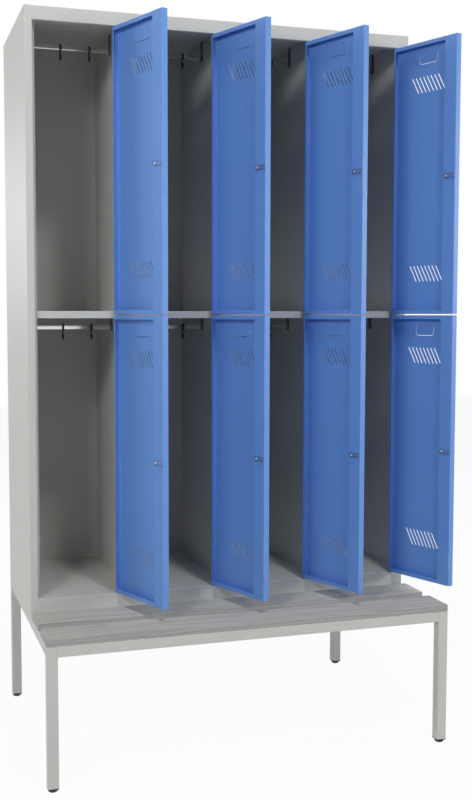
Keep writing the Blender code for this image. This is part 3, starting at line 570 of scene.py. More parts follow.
def marked_surface(name, colours, roughness, metallic, grain_scale, stretch, relief):
    """Return a metal or plastic whose tone and gloss drift between two values, over a fine grain."""
    made, tree, shader = new_finish(name)
    shader.inputs["Metallic"].default_value = metallic
    marks = add_node(tree, "ShaderNodeGroup", node_tree=SURFACE_MARKS)
    marks.inputs["Cloud Scale"].default_value = grain_scale / GRAINS_PER_CLOUD
    marks.inputs["Grain Scale"].default_value = grain_scale
    marks.inputs["Grain Stretch"].default_value = stretch
    tone = add_node(tree, "ShaderNodeMix", data_type="RGBA")
    tone.inputs[MIX_FIRST].default_value, tone.inputs[MIX_SECOND].default_value = colours
    gloss = add_range(tree, CLOUD_RANGE, roughness)
    bump = add_node(tree, "ShaderNodeBump")
    bump.inputs["Strength"].default_value = GRAIN_STRENGTH
    bump.inputs["Distance"].default_value = relief
    join_nodes(
        tree,
        (marks, "Clouds", tone, "Factor"),
        (marks, "Clouds", gloss, "Value"),
        (marks, "Grain", bump, "Height"),
        (tone, MIXED, shader, "Base Color"),
        (gloss, "Result", shader, "Roughness"),
        (bump, "Normal", shader, "Normal"),
    )
    return made


black_plastic = marked_surface(
    "black_plastic", PLASTIC_BLACK, PLASTIC_ROUGHNESS, 0.0, PLASTIC_GRAIN_SCALE, EVEN_GRAIN, PLASTIC_GRAIN
)


def sized_outline(shares, width, height):
    """Return an outline's points from their shares of a width and a height."""
    return [(across * width, up * height) for across, up in shares]


def eased_rim(radius, height, edge):
    """Return the (radius, height) pairs that round a turned body's upper rim."""
    third = edge / 3
    return [(radius, height - edge), (radius - third, height - third), (radius - edge, height)]


def add_turned(bm, profile, sides):
    """Add a closed body turned about z, from (radius, height) pairs that run from its lower end up."""
    rings = []
    for radius, height in profile:
        count = sides if radius else 1
        angles = [math.tau * number / sides for number in range(count)]
        rings.append([bm.verts.new((radius * math.cos(a), radius * math.sin(a), height)) for a in angles])
    for low, high in zip(rings, rings[1:]):
        for here in range(sides):
            there = (here + 1) % sides
            corners = (
                low[here % len(low)],
                low[there % len(low)],
                high[there % len(high)],
                high[here % len(high)],
            )
            bm.faces.new(list(dict.fromkeys(corners)))


def add_eased_box(bm, low, high, edge, steps=2):
    """Add a box between two corners, with all its edges rounded."""
    low, high = Vector(low), Vector(high)
    made = bmesh.ops.create_cube(bm, size=1)["verts"]
    bmesh.ops.scale(bm, vec=high - low, verts=made)
    bmesh.ops.translate(bm, vec=(low + high) / 2, verts=made)
    edges = list({line for vertex in made for line in vertex.link_edges})
    bmesh.ops.bevel(bm, geom=edges, offset=edge, segments=steps, affect="EDGES", profile=ROUND_PROFILE)


def closed_mesh(name, bm, *finishes):
    """Write a bmesh into a mesh, shaded smooth but for its sharp edges, and give it its finishes."""
    mesh = bpy.data.meshes.new(name)
    bm.to_mesh(mesh)
    bm.free()
    mesh.shade_smooth()
    mesh.set_sharp_from_angle(angle=CREASE_ANGLE)
    for finish in finishes:
        mesh.materials.append(finish)
    return mesh


def set_out_growth():
    """Build the tree that sets out copies of one fitting on points, turned as each point says."""
    group, given, out = add_growth("set_out", Fitting="Object", Spin="Float", Seed="Int", Finish="Material")
    fitting = add_node(group, "GeometryNodeObjectInfo", transform_space="ORIGINAL")
    turn = add_node(group, "GeometryNodeInputNamedAttribute", data_type="FLOAT_VECTOR")
    turn.inputs["Name"].default_value = "turn"
    facing = add_node(group, "FunctionNodeEulerToRotation")
    laid = add_node(group, "GeometryNodeInstanceOnPoints")
    chance = add_node(group, "FunctionNodeRandomValue", data_type="FLOAT")
    about = add_node(group, "ShaderNodeCombineXYZ")
    spun = add_node(group, "FunctionNodeEulerToRotation")
    driven = add_node(group, "GeometryNodeRotateInstances")
    join_nodes(
        group,
        (given, "Fitting", fitting, "Object"),
        (given, "Geometry", laid, "Points"),
        (fitting, "Geometry", laid, "Instance"),
        (turn, "Attribute", facing, "Euler"),
        (facing, "Rotation", laid, "Rotation"),
        (given, "Seed", chance, "Seed"),
        (given, "Spin", chance, RANDOM_MOST),
        (chance, RANDOM_NUMBER, about, "Z"),
        (about, "Vector", spun, "Euler"),
        (laid, "Instances", driven, "Instances"),
        (spun, "Rotation", driven, "Rotation"),
    )
    finish_growth(group, driven.outputs["Instances"], given, out)
    return group


SET_OUT = set_out_growth()


def set_out(name, fitting, places, spin=0.0, seed=0):
    """Return one mesh of a fitting's copies at (place, turn) pairs."""
    points = path_mesh(f"{name}_places", [[place] for place, turn in places])
    turns = points.attributes.new("turn", "FLOAT_VECTOR", "POINT")
    for item, (place, turn) in zip(turns.data, places):
        item.vector = turn
    pattern = bpy.data.objects.new(f"{name}_pattern", fitting)
    bpy.context.scene.collection.objects.link(pattern)
    mesh = grown(name, SET_OUT, points, Fitting=pattern, Spin=spin, Seed=seed, Finish=fitting.materials[0])
    bpy.data.objects.remove(pattern)
    mesh.set_sharp_from_angle(angle=CREASE_ANGLE)
    return mesh


sole_height = foot_low.z + frame_low.z - FLANGE_HEIGHT
bm = bmesh.new()
sole = sized_outline(SOLE_OUTLINE_SHARES, tube / 2 - FLANGE_EDGE, sole_height)
add_turned(bm, [*sole, (0, sole_height)], SOLE_SIDES)
add_eased_box(bm, (-tube / 2, -tube / 2, sole_height), (tube / 2, tube / 2, frame_low.z), FLANGE_EDGE)
foot_names = [f"foot_{corner}" for corner in ("front_left", "front_right", "rear_left", "rear_right")]
foot_places = []
for name in foot_names:
    low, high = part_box(name)
    foot_places.append((((low[0] + high[0]) / 2, (low[1] + high[1]) / 2, 0), (0, 0, 0)))
feet = set_out("feet", closed_mesh("glide", bm, black_plastic), foot_places)
add_piece("feet", feet, "cabinet", foot_names)


# Bench planks
# Two softwood boards, stained grey and lacquered, that lie along the tube frame in front of the cabinet. The
# grain runs along the boards, from growth rings about an axis below them.
STAIN_DARK = (0.47, 0.455, 0.42, 1)
STAIN_PALE = (0.58, 0.56, 0.515, 1)
FIBRE_DARK = (0.35, 0.34, 0.315, 1)
# The sides and ends of the boards are painted darker: partly real stain, partly painted shade
SIDE_STAIN_AND_SHADE = (0.75, 0.775, 0.83, 1)
FACE_TONE = (1, 1, 1, 1)
# Upright share of the surface's direction where the sides' darker tone, partly stain and partly painted
# shade, ends and where the face's tone is full
SIDE_SLOPE_RANGE = (0.3, 0.8)
LACQUER_ROUGHNESS = (0.50, 0.68)
LACQUER_SPECULAR = 0.3
RING_AXIS = (0, 0.13, 0.33)
RING_PITCH = 0.011
RING_STRETCH = (0.45, 3.2, 3.2)
RING_WANDER = 0.044
RING_WANDER_SCALE = 4.0
RING_WANDER_DETAIL = 3
LATE_WOOD_RANGE = (0.35, 0.93)
FIBRE_STRETCH = (4.0, 160.0, 160.0)
FIBRE_DETAIL = 4
FIBRE_ROUGHNESS = 0.65
FIBRE_RANGE = (0.40, 0.72)
FIBRE_SHARE = 0.42
WOOD_RELIEF = 0.00018
WOOD_RELIEF_STRENGTH = 0.35


def grey_stained_wood():
    """Build the look of the boards: growth rings, fibres, stain, painted shade on their sides and ends, and
    lacquer.
    """
    made, tree, shader = new_finish("grey_stained_wood")
    shader.inputs["Specular IOR Level"].default_value = LACQUER_SPECULAR
    place = add_node(tree, "ShaderNodeTexCoord")

    # Growth rings: the distance from an axis under the boards, bent by slow noise along them
    stretch = add_node(tree, "ShaderNodeMapping")
    stretch.inputs["Scale"].default_value = RING_STRETCH
    wander = add_node(tree, "ShaderNodeTexNoise")
    wander.inputs["Scale"].default_value = RING_WANDER_SCALE
    wander.inputs["Detail"].default_value = RING_WANDER_DETAIL
    centred = add_node(tree, "ShaderNodeMapping", vector_type="POINT")
    centred.inputs["Location"].default_value = RING_AXIS
    centred.inputs["Scale"].default_value = (0, 1, 1)
    reach = add_node(tree, "ShaderNodeVectorMath", operation="LENGTH")
    bend = add_node(tree, "ShaderNodeMath", operation="MULTIPLY_ADD")
    bend.inputs[1].default_value = RING_WANDER
    turns = add_node(tree, "ShaderNodeMath", operation="DIVIDE")
    turns.inputs[1].default_value = RING_PITCH
    ring = add_node(tree, "ShaderNodeMath", operation="FRACT")
    late = add_range(tree, start=LATE_WOOD_RANGE, interpolation_type="SMOOTHSTEP")
    join_nodes(
        tree,
        (place, "Object", stretch, "Vector"),
        (stretch, "Vector", wander, "Vector"),
        (place, "Object", centred, "Vector"),
        (centred, "Vector", reach, 0),
        (wander, "Fac", bend, 0),
        (reach, "Value", bend, 2),
        (bend, 0, turns, 0),
        (turns, 0, ring, 0),
        (ring, 0, late, "Value"),
    )

    # Fibres: long thin streaks
    drawn = add_node(tree, "ShaderNodeMapping")
    drawn.inputs["Scale"].default_value = FIBRE_STRETCH
    fibres = add_node(tree, "ShaderNodeTexNoise")
    fibres.inputs["Scale"].default_value = 1.0
    fibres.inputs["Detail"].default_value = FIBRE_DETAIL
    fibres.inputs["Roughness"].default_value = FIBRE_ROUGHNESS
    join_nodes(
        tree,
        (place, "Object", drawn, "Vector"),
        (drawn, "Vector", fibres, "Vector"),
    )

    # Stain: darker in the late wood and along the fibres
    stain = add_node(tree, "ShaderNodeMix", data_type="RGBA")
    stain.inputs[MIX_FIRST].default_value = STAIN_PALE
    stain.inputs[MIX_SECOND].default_value = STAIN_DARK
    streak = add_range(tree, FIBRE_RANGE, (0, FIBRE_SHARE))
    streaked = add_node(tree, "ShaderNodeMix", data_type="RGBA")
    streaked.inputs[MIX_SECOND].default_value = FIBRE_DARK
    join_nodes(
        tree,
        (late, "Result", stain, "Factor"),
        (fibres, "Fac", streak, "Value"),
        (streak, "Result", streaked, "Factor"),
        (stain, MIXED, streaked, MIX_FIRST),
    )

    # The boards' sides and ends are darker than their faces: partly the stain they soak up, partly painted
    # shade
    facing = add_node(tree, "ShaderNodeSeparateXYZ")
    flatness = add_node(tree, "ShaderNodeMath", operation="ABSOLUTE")
    side_share = add_range(tree, start=SIDE_SLOPE_RANGE)
    side_stain_and_shade = add_node(tree, "ShaderNodeMix", data_type="RGBA")
    side_stain_and_shade.inputs[MIX_FIRST].default_value = SIDE_STAIN_AND_SHADE
    side_stain_and_shade.inputs[MIX_SECOND].default_value = FACE_TONE
    stained = add_node(tree, "ShaderNodeVectorMath", operation="MULTIPLY")
    join_nodes(
        tree,
        (place, "Normal", facing, 0),
        (facing, "Z", flatness, 0),
        (flatness, 0, side_share, "Value"),
        (streaked, MIXED, stained, 0),
        (side_share, "Result", side_stain_and_shade, "Factor"),
        (side_stain_and_shade, MIXED, stained, 1),
        (stained, 0, shader, "Base Color"),
    )

    # Lacquer, which sinks into the fibres
    lacquer = add_range(tree, end=LACQUER_ROUGHNESS)
    join_nodes(
        tree,
        (fibres, "Fac", lacquer, "Value"),
        (lacquer, "Result", shader, "Roughness"),
    )
    relief = add_node(tree, "ShaderNodeMath", operation="SUBTRACT")
    bump = add_node(tree, "ShaderNodeBump")
    bump.inputs["Strength"].default_value = WOOD_RELIEF_STRENGTH
    bump.inputs["Distance"].default_value = WOOD_RELIEF
    join_nodes(
        tree,
        (late, "Result", relief, 0),
        (fibres, "Fac", relief, 1),
        (relief, 0, bump, "Height"),
        (bump, "Normal", shader, "Normal"),
    )
    return made


finish_nodes(grey_stained_wood(), "plank_front", "plank_rear")

# Pan-head screws, driven up through the frame's beams into the boards
ZINC = ((0.50, 0.52, 0.55, 1), (0.62, 0.63, 0.64, 1))
ZINC_ROUGHNESS = (0.38, 0.52)
ZINC_GRAIN_SCALE = 900.0
ZINC_GRAIN = 0.00004
SCREW_HEAD_RADIUS = 0.0048
SCREW_HEAD_HEIGHT = 0.0022
SCREW_SIDES = 24
SCREW_SEED = 7
# Shares of each board's width, from its front edge
SCREW_PLACE_SHARES = {"plank_front": (0.42, 0.8), "plank_rear": (0.25, 0.75)}
# Shares of the head's radius and height, from its crown round to its seat, with the drive's recess first
SCREW_OUTLINE_SHARES = ((0, 0.55), (0.34, 0.42), (0.42, 1), (0.68, 0.96), (0.90, 0.72), (1, 0.38), (1, 0))

zinc = marked_surface("zinc_plate", ZINC, ZINC_ROUGHNESS, 1.0, ZINC_GRAIN_SCALE, EVEN_GRAIN, ZINC_GRAIN)


def fastener_head(name, shares, radius, height, sides):
    """Return the mesh of a zinc-plated head that stands on z = 0."""
    bm = bmesh.new()
    add_turned(bm, [(0, 0), *reversed(sized_outline(shares, radius, height))], sides)
    return closed_mesh(name, bm, zinc)


screw_head = fastener_head(
    "screw_head", SCREW_OUTLINE_SHARES, SCREW_HEAD_RADIUS, SCREW_HEAD_HEIGHT, SCREW_SIDES
)
upside_down = (math.pi, 0, 0)
screw_places = []
for name, shares in SCREW_PLACE_SHARES.items():
    low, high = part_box(name)
    for x in (frame_low.x + tube / 2, bearer_left + tube / 2, frame_high.x - tube / 2):
        for share in shares:
            screw_places.append(((x, low[1] + share * (high[1] - low[1]), beam_base), upside_down))
bench_screws = set_out("bench_screws", screw_head, screw_places, math.tau, SCREW_SEED)
add_piece("bench_screws", bench_screws, "cabinet")


# Cabinet
# Folded sheet steel in the frame's light grey: two sides, the roof with its header, the floor with its base
# flange, the back, three partitions and four shelves.
finish_nodes(grey_coat, "side_left", "side_right", "roof_panel", "floor_panel", "back_panel")
finish_nodes(grey_coat, "partition_1", "partition_2", "partition_3")
finish_nodes(grey_coat, "shelf_1", "shelf_2", "shelf_3", "shelf_4")

# Welds where the header and the base meet the stiles, ground nearly flush and coated over
STILE_WIDTH = 0.022
HEADER_HEIGHT = 0.039
BASE_HEIGHT = 0.053
GROUND_WIDTH = 0.005
GROUND_PROUD = 0.00012
GROUND_END = 0.0010

ground_coat = powder_coated("grey_coat_over_weld", GREY_PAINT, GREY_PAINT_ROUGHNESS, 0, 0)
side_low, side_high = (Vector(corner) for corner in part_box("side_left"))
bm = bmesh.new()
for x in (side_low.x + STILE_WIDTH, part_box("side_right")[1][0] - STILE_WIDTH):
    for base, height in ((side_low.z, BASE_HEIGHT), (side_high.z - HEADER_HEIGHT, HEADER_HEIGHT)):
        low = Vector((x - GROUND_WIDTH / 2, side_low.y - GROUND_PROUD, base + GROUND_END))
        high = Vector((x + GROUND_WIDTH / 2, side_low.y + GROUND_PROUD, base + height - GROUND_END))
        add_eased_box(bm, low, high, GROUND_PROUD / 2)
add_piece("ground_welds", closed_mesh("ground_welds", bm, ground_coat), "cabinet")

# Blind rivets that hold the back panel to the partitions and the sides' returns
RIVET_RADIUS = 0.0032
RIVET_HEIGHT = 0.0009
RIVET_SIDES = 20
RIVET_ROWS = 9
RIVET_END_INSET = 0.045
RIVET_EDGE_INSET = 0.0075
RIVET_SEED = 11
# Shares of the head's radius and height, from the hole left by its mandrel round to its seat
RIVET_OUTLINE_SHARES = ((0, 0.45), (0.30, 0.45), (0.36, 1), (0.62, 0.93), (0.86, 0.62), (1, 0.12), (1, 0))

rivet = fastener_head("rivet", RIVET_OUTLINE_SHARES, RIVET_RADIUS, RIVET_HEIGHT, RIVET_SIDES)
back_low, back_high = (Vector(corner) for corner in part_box("back_panel"))
row_pitch = (back_high.z - back_low.z - 2 * RIVET_END_INSET) / (RIVET_ROWS - 1)
to_rear = (-math.pi / 2, 0, 0)
rivet_places = []
for row in range(RIVET_ROWS):
    height = back_low.z + RIVET_END_INSET + row * row_pitch
    for x in (frame_low.x + RIVET_EDGE_INSET, frame_high.x - RIVET_EDGE_INSET):
        rivet_places.append(((x, side_high.y, height), to_rear))
    for number in (1, 2, 3):
        low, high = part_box(f"partition_{number}")
        rivet_places.append((((low[0] + high[0]) / 2, back_high.y, height), to_rear))
back_rivets = set_out("back_rivets", rivet, rivet_places, math.tau, RIVET_SEED)
add_piece("back_rivets", back_rivets, "cabinet")


# Hanging rails
# Chromed flat steel tube, cut to each compartment's width and held at both ends in dark grey plastic brackets
# that hang from the shelf or the roof beside the walls.
COLUMNS = (1, 2, 3, 4)
TIERS = ("lower", "upper")
COMPARTMENTS = [(column, tier) for column in COLUMNS for tier in TIERS]
RAIL_HEIGHT = 0.014
RAIL_WIDTH = 0.007
RAIL_CORNER = 0.002
RAIL_CORNER_STEPS = 5
BRACKET_THICKNESS = 0.004
BRACKET_RADIUS = 0.012
STRAP_WIDTH = 0.016
BRACKET_EDGE = 0.0009
BRACKET_SIDES = 40
RIM_WIDTH = 0.0016
RIM_HEIGHT = 0.0012
CHROME = ((0.66, 0.67, 0.69, 1), (0.76, 0.77, 0.78, 1))
CHROME_ROUGHNESS = (0.16, 0.26)
CHROME_GRAIN_SCALE = 500.0
CHROME_BRUSHING = (0.04, 1, 1)
CHROME_GRAIN = 0.00003
BRACKET_GREY = ((0.070, 0.070, 0.072, 1), (0.095, 0.095, 0.097, 1))
BRACKET_ROUGHNESS = (0.42, 0.56)

bracket_plastic = marked_surface(
    "dark_grey_plastic",
    BRACKET_GREY,
    BRACKET_ROUGHNESS,
    0.0,
    PLASTIC_GRAIN_SCALE,
    EVEN_GRAIN,
    PLASTIC_GRAIN,
)
chrome = marked_surface(
    "chrome", CHROME, CHROME_ROUGHNESS, 1.0, CHROME_GRAIN_SCALE, CHROME_BRUSHING, CHROME_GRAIN
)
rail_names = [f"rail_{column}_{tier}" for column, tier in COMPARTMENTS]
rail_axes = {}
rail_half = Vector((0, RAIL_WIDTH / 2, RAIL_HEIGHT / 2))
tubes = bmesh.new()
for name in rail_names:
    low, high = (Vector(corner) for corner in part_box(name))
    middle_y, axis_z = (low.y + high.y) / 2, low.z + BRACKET_RADIUS
    rail_axes[name] = (low.x, high.x, middle_y, axis_z, high.z - axis_z)
    left = Vector((low.x + BRACKET_THICKNESS / 2, middle_y, axis_z))
    right = Vector((high.x - BRACKET_THICKNESS / 2, middle_y, axis_z))
    add_eased_box(tubes, left - rail_half, right + rail_half, RAIL_CORNER, RAIL_CORNER_STEPS)
add_piece("rail_tubes", closed_mesh("rail_tubes", tubes, chrome), "cabinet", rail_names)


def bracket_mesh(name, rise):
    """Return a rail bracket whose wall side is at x = 0, with a strap that reaches up by the rise."""
    bm = bmesh.new()
    plate = BRACKET_THICKNESS - RIM_HEIGHT
    cup = [(0, 0), (BRACKET_RADIUS, 0), *eased_rim(BRACKET_RADIUS, plate, BRACKET_EDGE), (0, plate)]
    add_turned(bm, cup, BRACKET_SIDES)
    bmesh.ops.rotate(bm, matrix=Matrix.Rotation(math.pi / 2, 3, "Y"), verts=bm.verts)
    add_eased_box(
        bm,
        (0, -STRAP_WIDTH / 2, BRACKET_RADIUS / 2),
        (plate - BRACKET_EDGE / 2, STRAP_WIDTH / 2, rise),
        BRACKET_EDGE,
    )
    rim = rail_half + Vector((0, RIM_WIDTH, RIM_WIDTH))
    reach = Vector((BRACKET_THICKNESS, 0, 0))
    add_eased_box(bm, Vector((0, -rim.y, -rim.z)), rim + reach, RIM_HEIGHT / 2)
    return closed_mesh(name, bm, bracket_plastic)


to_right_wall = (0, 0, math.pi)
for tier in TIERS:
    places = []
    for column in COLUMNS:
        left, right, middle_y, axis_z, rise = rail_axes[f"rail_{column}_{tier}"]
        places.append(((left, middle_y, axis_z), (0, 0, 0)))
        places.append(((right, middle_y, axis_z), to_right_wall))
    brackets = set_out(f"rail_brackets_{tier}", bracket_mesh(f"bracket_{tier}", rise), places)
    add_piece(f"rail_brackets_{tier}", brackets, "cabinet")


# Coat hooks
# Black plastic-coated wire: a ring that slides along the rail, a short shank behind and below it, and a curl
# that opens to the front.
HOOK_WIRE = 0.0024
HOOK_RING = 0.0111
HOOK_SINK = 0.0009
HOOK_DROP = 0.039
HOOK_CURL = 0.007
HOOK_TIP = 0.007
HOOK_SHOULDER = 0.004
HOOK_RING_START = math.radians(135)
HOOK_RING_END = math.radians(-150)
HOOK_RING_STEPS = 28
HOOK_CURL_STEPS = 14
HOOK_SIDES = 16
HOOK_END_SUBDIVISIONS = 3
# Shares of the curl's reach and of the shoulder's drop at which the ring runs into the shank
BEND_REACH_SHARE = 0.97
BEND_DROP_SHARE = 0.3


def round_bar_growth():
    """Build the tree that draws a round bar with rounded ends along a path."""
    group, given, out = add_growth("round_bar", Radius="Float", Sides="Int", Finish="Material")
    route = add_node(group, "GeometryNodeMeshToCurve")
    ring = add_node(group, "GeometryNodeCurvePrimitiveCircle")
    bar = add_node(group, "GeometryNodeCurveToMesh")
    bar.inputs["Fill Caps"].default_value = True
    ends = add_node(group, "GeometryNodeCurveEndpointSelection")
    ball = add_node(group, "GeometryNodeMeshIcoSphere")
    ball.inputs["Subdivisions"].default_value = HOOK_END_SUBDIVISIONS
    capped = add_node(group, "GeometryNodeInstanceOnPoints")
    whole = add_node(group, "GeometryNodeJoinGeometry")
    join_nodes(
        group,
        (given, "Geometry", route, "Mesh"),
        (given, "Radius", ring, "Radius"),
        (given, "Sides", ring, "Resolution"),
        (route, "Curve", bar, "Curve"),
        (ring, "Curve", bar, "Profile Curve"),
        (given, "Radius", ball, "Radius"),
        (route, "Curve", capped, "Points"),
        (ends, "Selection", capped, "Selection"),
        (ball, "Mesh", capped, "Instance"),
        (bar, "Mesh", whole, "Geometry"),
        (capped, "Instances", whole, "Geometry"),
    )
    finish_growth(group, whole.outputs["Geometry"], given, out)
    return group


ROUND_BAR = round_bar_growth()

curl_z = -HOOK_DROP + HOOK_WIRE + HOOK_CURL
hook_path = []
for step in range(HOOK_RING_STEPS + 1):
    angle = HOOK_RING_START + (HOOK_RING_END - HOOK_RING_START) * step / HOOK_RING_STEPS
    hook_path.append(Vector((0, -HOOK_RING * math.sin(angle), HOOK_RING * math.cos(angle) - HOOK_SINK)))
bend_z = -HOOK_SINK - HOOK_RING - HOOK_SHOULDER * BEND_DROP_SHARE
hook_path.append(Vector((0, HOOK_CURL * BEND_REACH_SHARE, bend_z)))
hook_path.append(Vector((0, HOOK_CURL, -HOOK_SINK - HOOK_RING - HOOK_SHOULDER)))
for step in range(HOOK_CURL_STEPS + 1):
    angle = math.pi * step / HOOK_CURL_STEPS
    hook_path.append(Vector((0, HOOK_CURL * math.cos(angle), curl_z - HOOK_CURL * math.sin(angle))))
hook_path.append(Vector((0, -HOOK_CURL, curl_z + HOOK_TIP)))
for column, tier in COMPARTMENTS:
    left, right, middle_y, axis_z, rise = rail_axes[f"rail_{column}_{tier}"]
    for side in ("left", "right"):
        body = f"hook_{column}_{tier}_{side}"
        low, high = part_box(body)
        axis = Vector(((low[0] + high[0]) / 2, middle_y, axis_z))
        wire = grown(
            f"wire_{body}",
            ROUND_BAR,
            path_mesh(f"path_{body}", [[axis + point for point in hook_path]]),
            Radius=HOOK_WIRE,
            Sides=HOOK_SIDES,
            Finish=black_plastic,
        )
        add_piece(f"wire_{body}", wire, body, [body])


# Doors
# Eight folded trays of the same sheet, powder coated blue on both sides, with pressed label fields and
# slanted vents. Each turns on two pins at its right edge.
BLUE_PAINT = (0.148, 0.325, 0.76, 1)
BLUE_PAINT_ROUGHNESS = 0.40

blue_coat = powder_coated("blue_powder_coat", BLUE_PAINT, BLUE_PAINT_ROUGHNESS)
for column, tier in COMPARTMENTS:
    finish_nodes(blue_coat, f"door_{column}_{tier}")


# Locks
# A die-cast cylinder lock in each door: a chromed ring on the outer face, a plug with a keyway that turns,
# and behind the door a flat slate-blue cam, held by a pan-head screw.
OPEN_ANGLE = math.radians(110)
DOOR_FRONT_Y = -0.0045
DOOR_THICKNESS = 0.020
LOCK_X = -0.211
LOCK_INSET = 0.034
LOCK_PROUD = 0.0025
LOCK_SIDES = 48
PLUG_RADIUS = 0.006
PLUG_EDGE = 0.0004
PLUG_SINK = 0.0004
RING_BORE = 0.0062
RING_RADIUS = 0.0112
RING_COVER = 0.0002
MERGE_DISTANCE = 0.00001
KEYWAY_LENGTH = 0.0076
KEYWAY_WIDTH = 0.0013
KEYWAY_DEPTH = 0.0024
CAM_GAP = 0.0004
CAM_THICKNESS = 0.0016
CAM_WIDTH = 0.014
CAM_BOSS_RADIUS = 0.0085
CAM_TIP_CORNER = 0.0025
CAM_CORNER_STEPS = 5
CAM_EDGE = 0.0003
# Edges that turn by more than this many radians are rounded
CAM_RIM_TURN = 1
CAM_SLOT, SCREW_SLOT = 1, 2
CAM_SCREW_RADIUS = 0.004
CAM_SCREW_HEIGHT = 0.0014
CAM_STEEL = ((0.10, 0.18, 0.42, 1), (0.15, 0.24, 0.49, 1))
CAM_ROUGHNESS = (0.48, 0.62)
CAM_METALLIC = 0.5
CAM_GRAIN_SCALE = 700.0
CAM_BRUSHING = (1, 1, 0.1)
CAM_GRAIN = 0.00004
# Shares of the ring's width and height over the door
RING_OUTLINE_SHARES = (
    (1, 0),
    (1, 0.45),
    (0.93, 0.72),
    (0.80, 0.90),
    (0.62, 1),
    (0.28, 1),
    (0.12, 0.95),
    (0, 0.80),
)

cam_steel = marked_surface(
    "cam_steel", CAM_STEEL, CAM_ROUGHNESS, CAM_METALLIC, CAM_GRAIN_SCALE, CAM_BRUSHING, CAM_GRAIN
)
hinges = {joint["name"]: joint for joint in frame["joints"]}


def door_stand(column, tier):
    """Return the place of a door that stands open, from its closed drawing about its hinge axis."""
    x, y = hinges[f"door_{column}_{tier}_hinge"]["pos_m"][:2]
    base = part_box(f"door_{column}_{tier}")[0][2]
    return Matrix.Translation((x, y, base)) @ Matrix.Rotation(OPEN_ANGLE, 4, "Z")


def placed(mesh, place, name):
    """Return a copy of a mesh, moved to its place."""
    made = mesh.copy()
    made.name = name
    made.transform(place)
    return made


# The ring, drawn about the lock's axis with the door's outer face at z = 0
bm = bmesh.new()
ring_width = RING_RADIUS - RING_BORE
ring_height = LOCK_PROUD + RING_COVER
ring = [(RING_BORE + width * ring_width, height * ring_height) for width, height in RING_OUTLINE_SHARES]
for profile in zip([*ring, (RING_BORE, 0)], [*ring[1:], (RING_BORE, 0), ring[0]]):
    add_turned(bm, profile, LOCK_SIDES)
bmesh.ops.remove_doubles(bm, verts=bm.verts, dist=MERGE_DISTANCE)
bmesh.ops.recalc_face_normals(bm, faces=bm.faces)
lock_ring = closed_mesh("lock_ring", bm, chrome)

# The turning half, drawn about the lock's axis: heights are distances in front of the hinge axis
plug_front = LOCK_PROUD - DOOR_FRONT_Y
cam_near = -(DOOR_FRONT_Y + DOOR_THICKNESS) - CAM_GAP
cam_far = cam_near - CAM_THICKNESS
plug_end = cam_near - PLUG_SINK
plug_rim = eased_rim(PLUG_RADIUS, plug_front, PLUG_EDGE)
plug = bmesh.new()
add_turned(plug, [(0, plug_end), (PLUG_RADIUS, plug_end), *plug_rim, (0, plug_front)], LOCK_SIDES)
keyway = bmesh.new()
add_eased_box(
    keyway,
    (-KEYWAY_WIDTH / 2, -KEYWAY_LENGTH / 2, plug_front - KEYWAY_DEPTH),
    (KEYWAY_WIDTH / 2, KEYWAY_LENGTH / 2, plug_front + KEYWAY_DEPTH),
    KEYWAY_WIDTH / 4,
)
blank = bpy.data.objects.new("plug_blank", closed_mesh("plug_blank", plug, chrome))
key_slot = bpy.data.objects.new("key_slot", closed_mesh("key_slot", keyway, chrome))
cut = blank.modifiers.new("key_slot", "BOOLEAN")
cut.operation = "DIFFERENCE"
cut.object = key_slot
for item in (blank, key_slot):
    bpy.context.scene.collection.objects.link(item)
bpy.context.view_layer.update()
plug_mesh = bpy.data.meshes.new_from_object(blank.evaluated_get(bpy.context.evaluated_depsgraph_get()))
for item in (blank, key_slot):
    bpy.data.objects.remove(item)

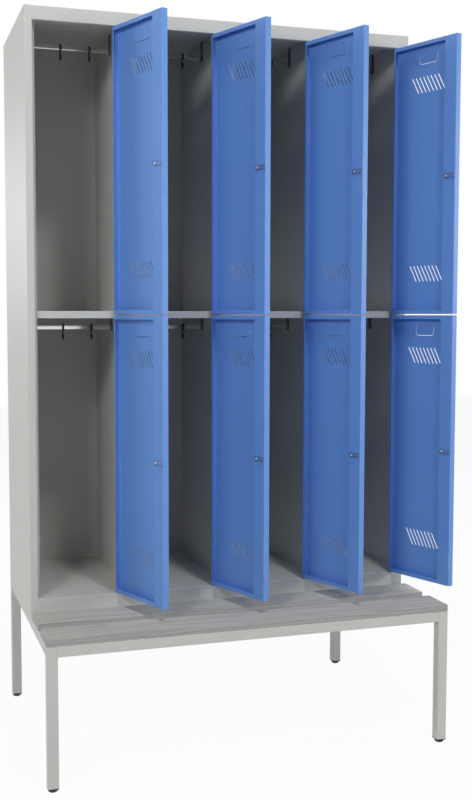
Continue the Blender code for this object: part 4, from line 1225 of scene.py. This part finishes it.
bm = bmesh.new()
bm.from_mesh(plug_mesh)
outline = []
for step in range(LOCK_SIDES // 2 + 1):
    angle = -math.pi / 2 + math.pi * step / (LOCK_SIDES // 2)
    outline.append((CAM_BOSS_RADIUS * math.cos(angle), CAM_BOSS_RADIUS * math.sin(angle)))
neck = math.sqrt(CAM_BOSS_RADIUS**2 - (CAM_WIDTH / 2) ** 2)
outline.append((-neck, CAM_WIDTH / 2))
for side in (1, -1):
    for step in range(CAM_CORNER_STEPS + 1):
        turn = math.pi / 2 * (step if side > 0 else CAM_CORNER_STEPS - step) / CAM_CORNER_STEPS
        reach = -LOCK_INSET + CAM_TIP_CORNER - CAM_TIP_CORNER * math.sin(turn)
        across = CAM_WIDTH / 2 - CAM_TIP_CORNER + CAM_TIP_CORNER * math.cos(turn)
        outline.append((reach, side * across))
outline.append((-neck, -CAM_WIDTH / 2))
plate = bm.faces.new([bm.verts.new((x, y, cam_far)) for x, y in outline])
plate.material_index = CAM_SLOT
raised = bmesh.ops.extrude_face_region(bm, geom=[plate])["geom"]
lifted = [item for item in raised if isinstance(item, bmesh.types.BMVert)]
bmesh.ops.translate(bm, vec=(0, 0, CAM_THICKNESS), verts=lifted)
plate_faces = {face for vertex in lifted for face in vertex.link_faces} | {plate}
for face in plate_faces:
    face.material_index = CAM_SLOT
bmesh.ops.recalc_face_normals(bm, faces=bm.faces)
plate_edges = {edge for face in plate_faces for edge in face.edges}
rims = [edge for edge in plate_edges if edge.calc_face_angle(0) > CAM_RIM_TURN]
bmesh.ops.bevel(
    bm,
    geom=rims,
    offset=CAM_EDGE,
    segments=2,
    affect="EDGES",
    profile=ROUND_PROFILE,
    material=CAM_SLOT,
)
cam_screw = sized_outline(SCREW_OUTLINE_SHARES, CAM_SCREW_RADIUS, CAM_SCREW_HEIGHT)
body_faces = set(bm.faces)
add_turned(bm, [(radius, cam_far - height) for radius, height in [*cam_screw, (0, 0)]], LOCK_SIDES)
for face in set(bm.faces) - body_faces:
    face.material_index = SCREW_SLOT
lock_half = closed_mesh("lock_half", bm, chrome, cam_steel, zinc)

for column, tier in COMPARTMENTS:
    low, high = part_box(f"door_{column}_{tier}")
    axis = Matrix.Translation((LOCK_X, 0, (high[2] - low[2]) / 2)) @ Matrix.Rotation(math.pi / 2, 4, "X")
    stand = door_stand(column, tier) @ axis
    on_face = stand @ Matrix.Translation((0, 0, -DOOR_FRONT_Y))
    add_piece(
        f"lock_ring_{column}_{tier}",
        placed(lock_ring, on_face, f"lock_ring_{column}_{tier}"),
        f"door_{column}_{tier}",
    )
    body = f"lock_cam_{column}_{tier}"
    add_piece(f"turning_{body}", placed(lock_half, stand, body), body, [body])
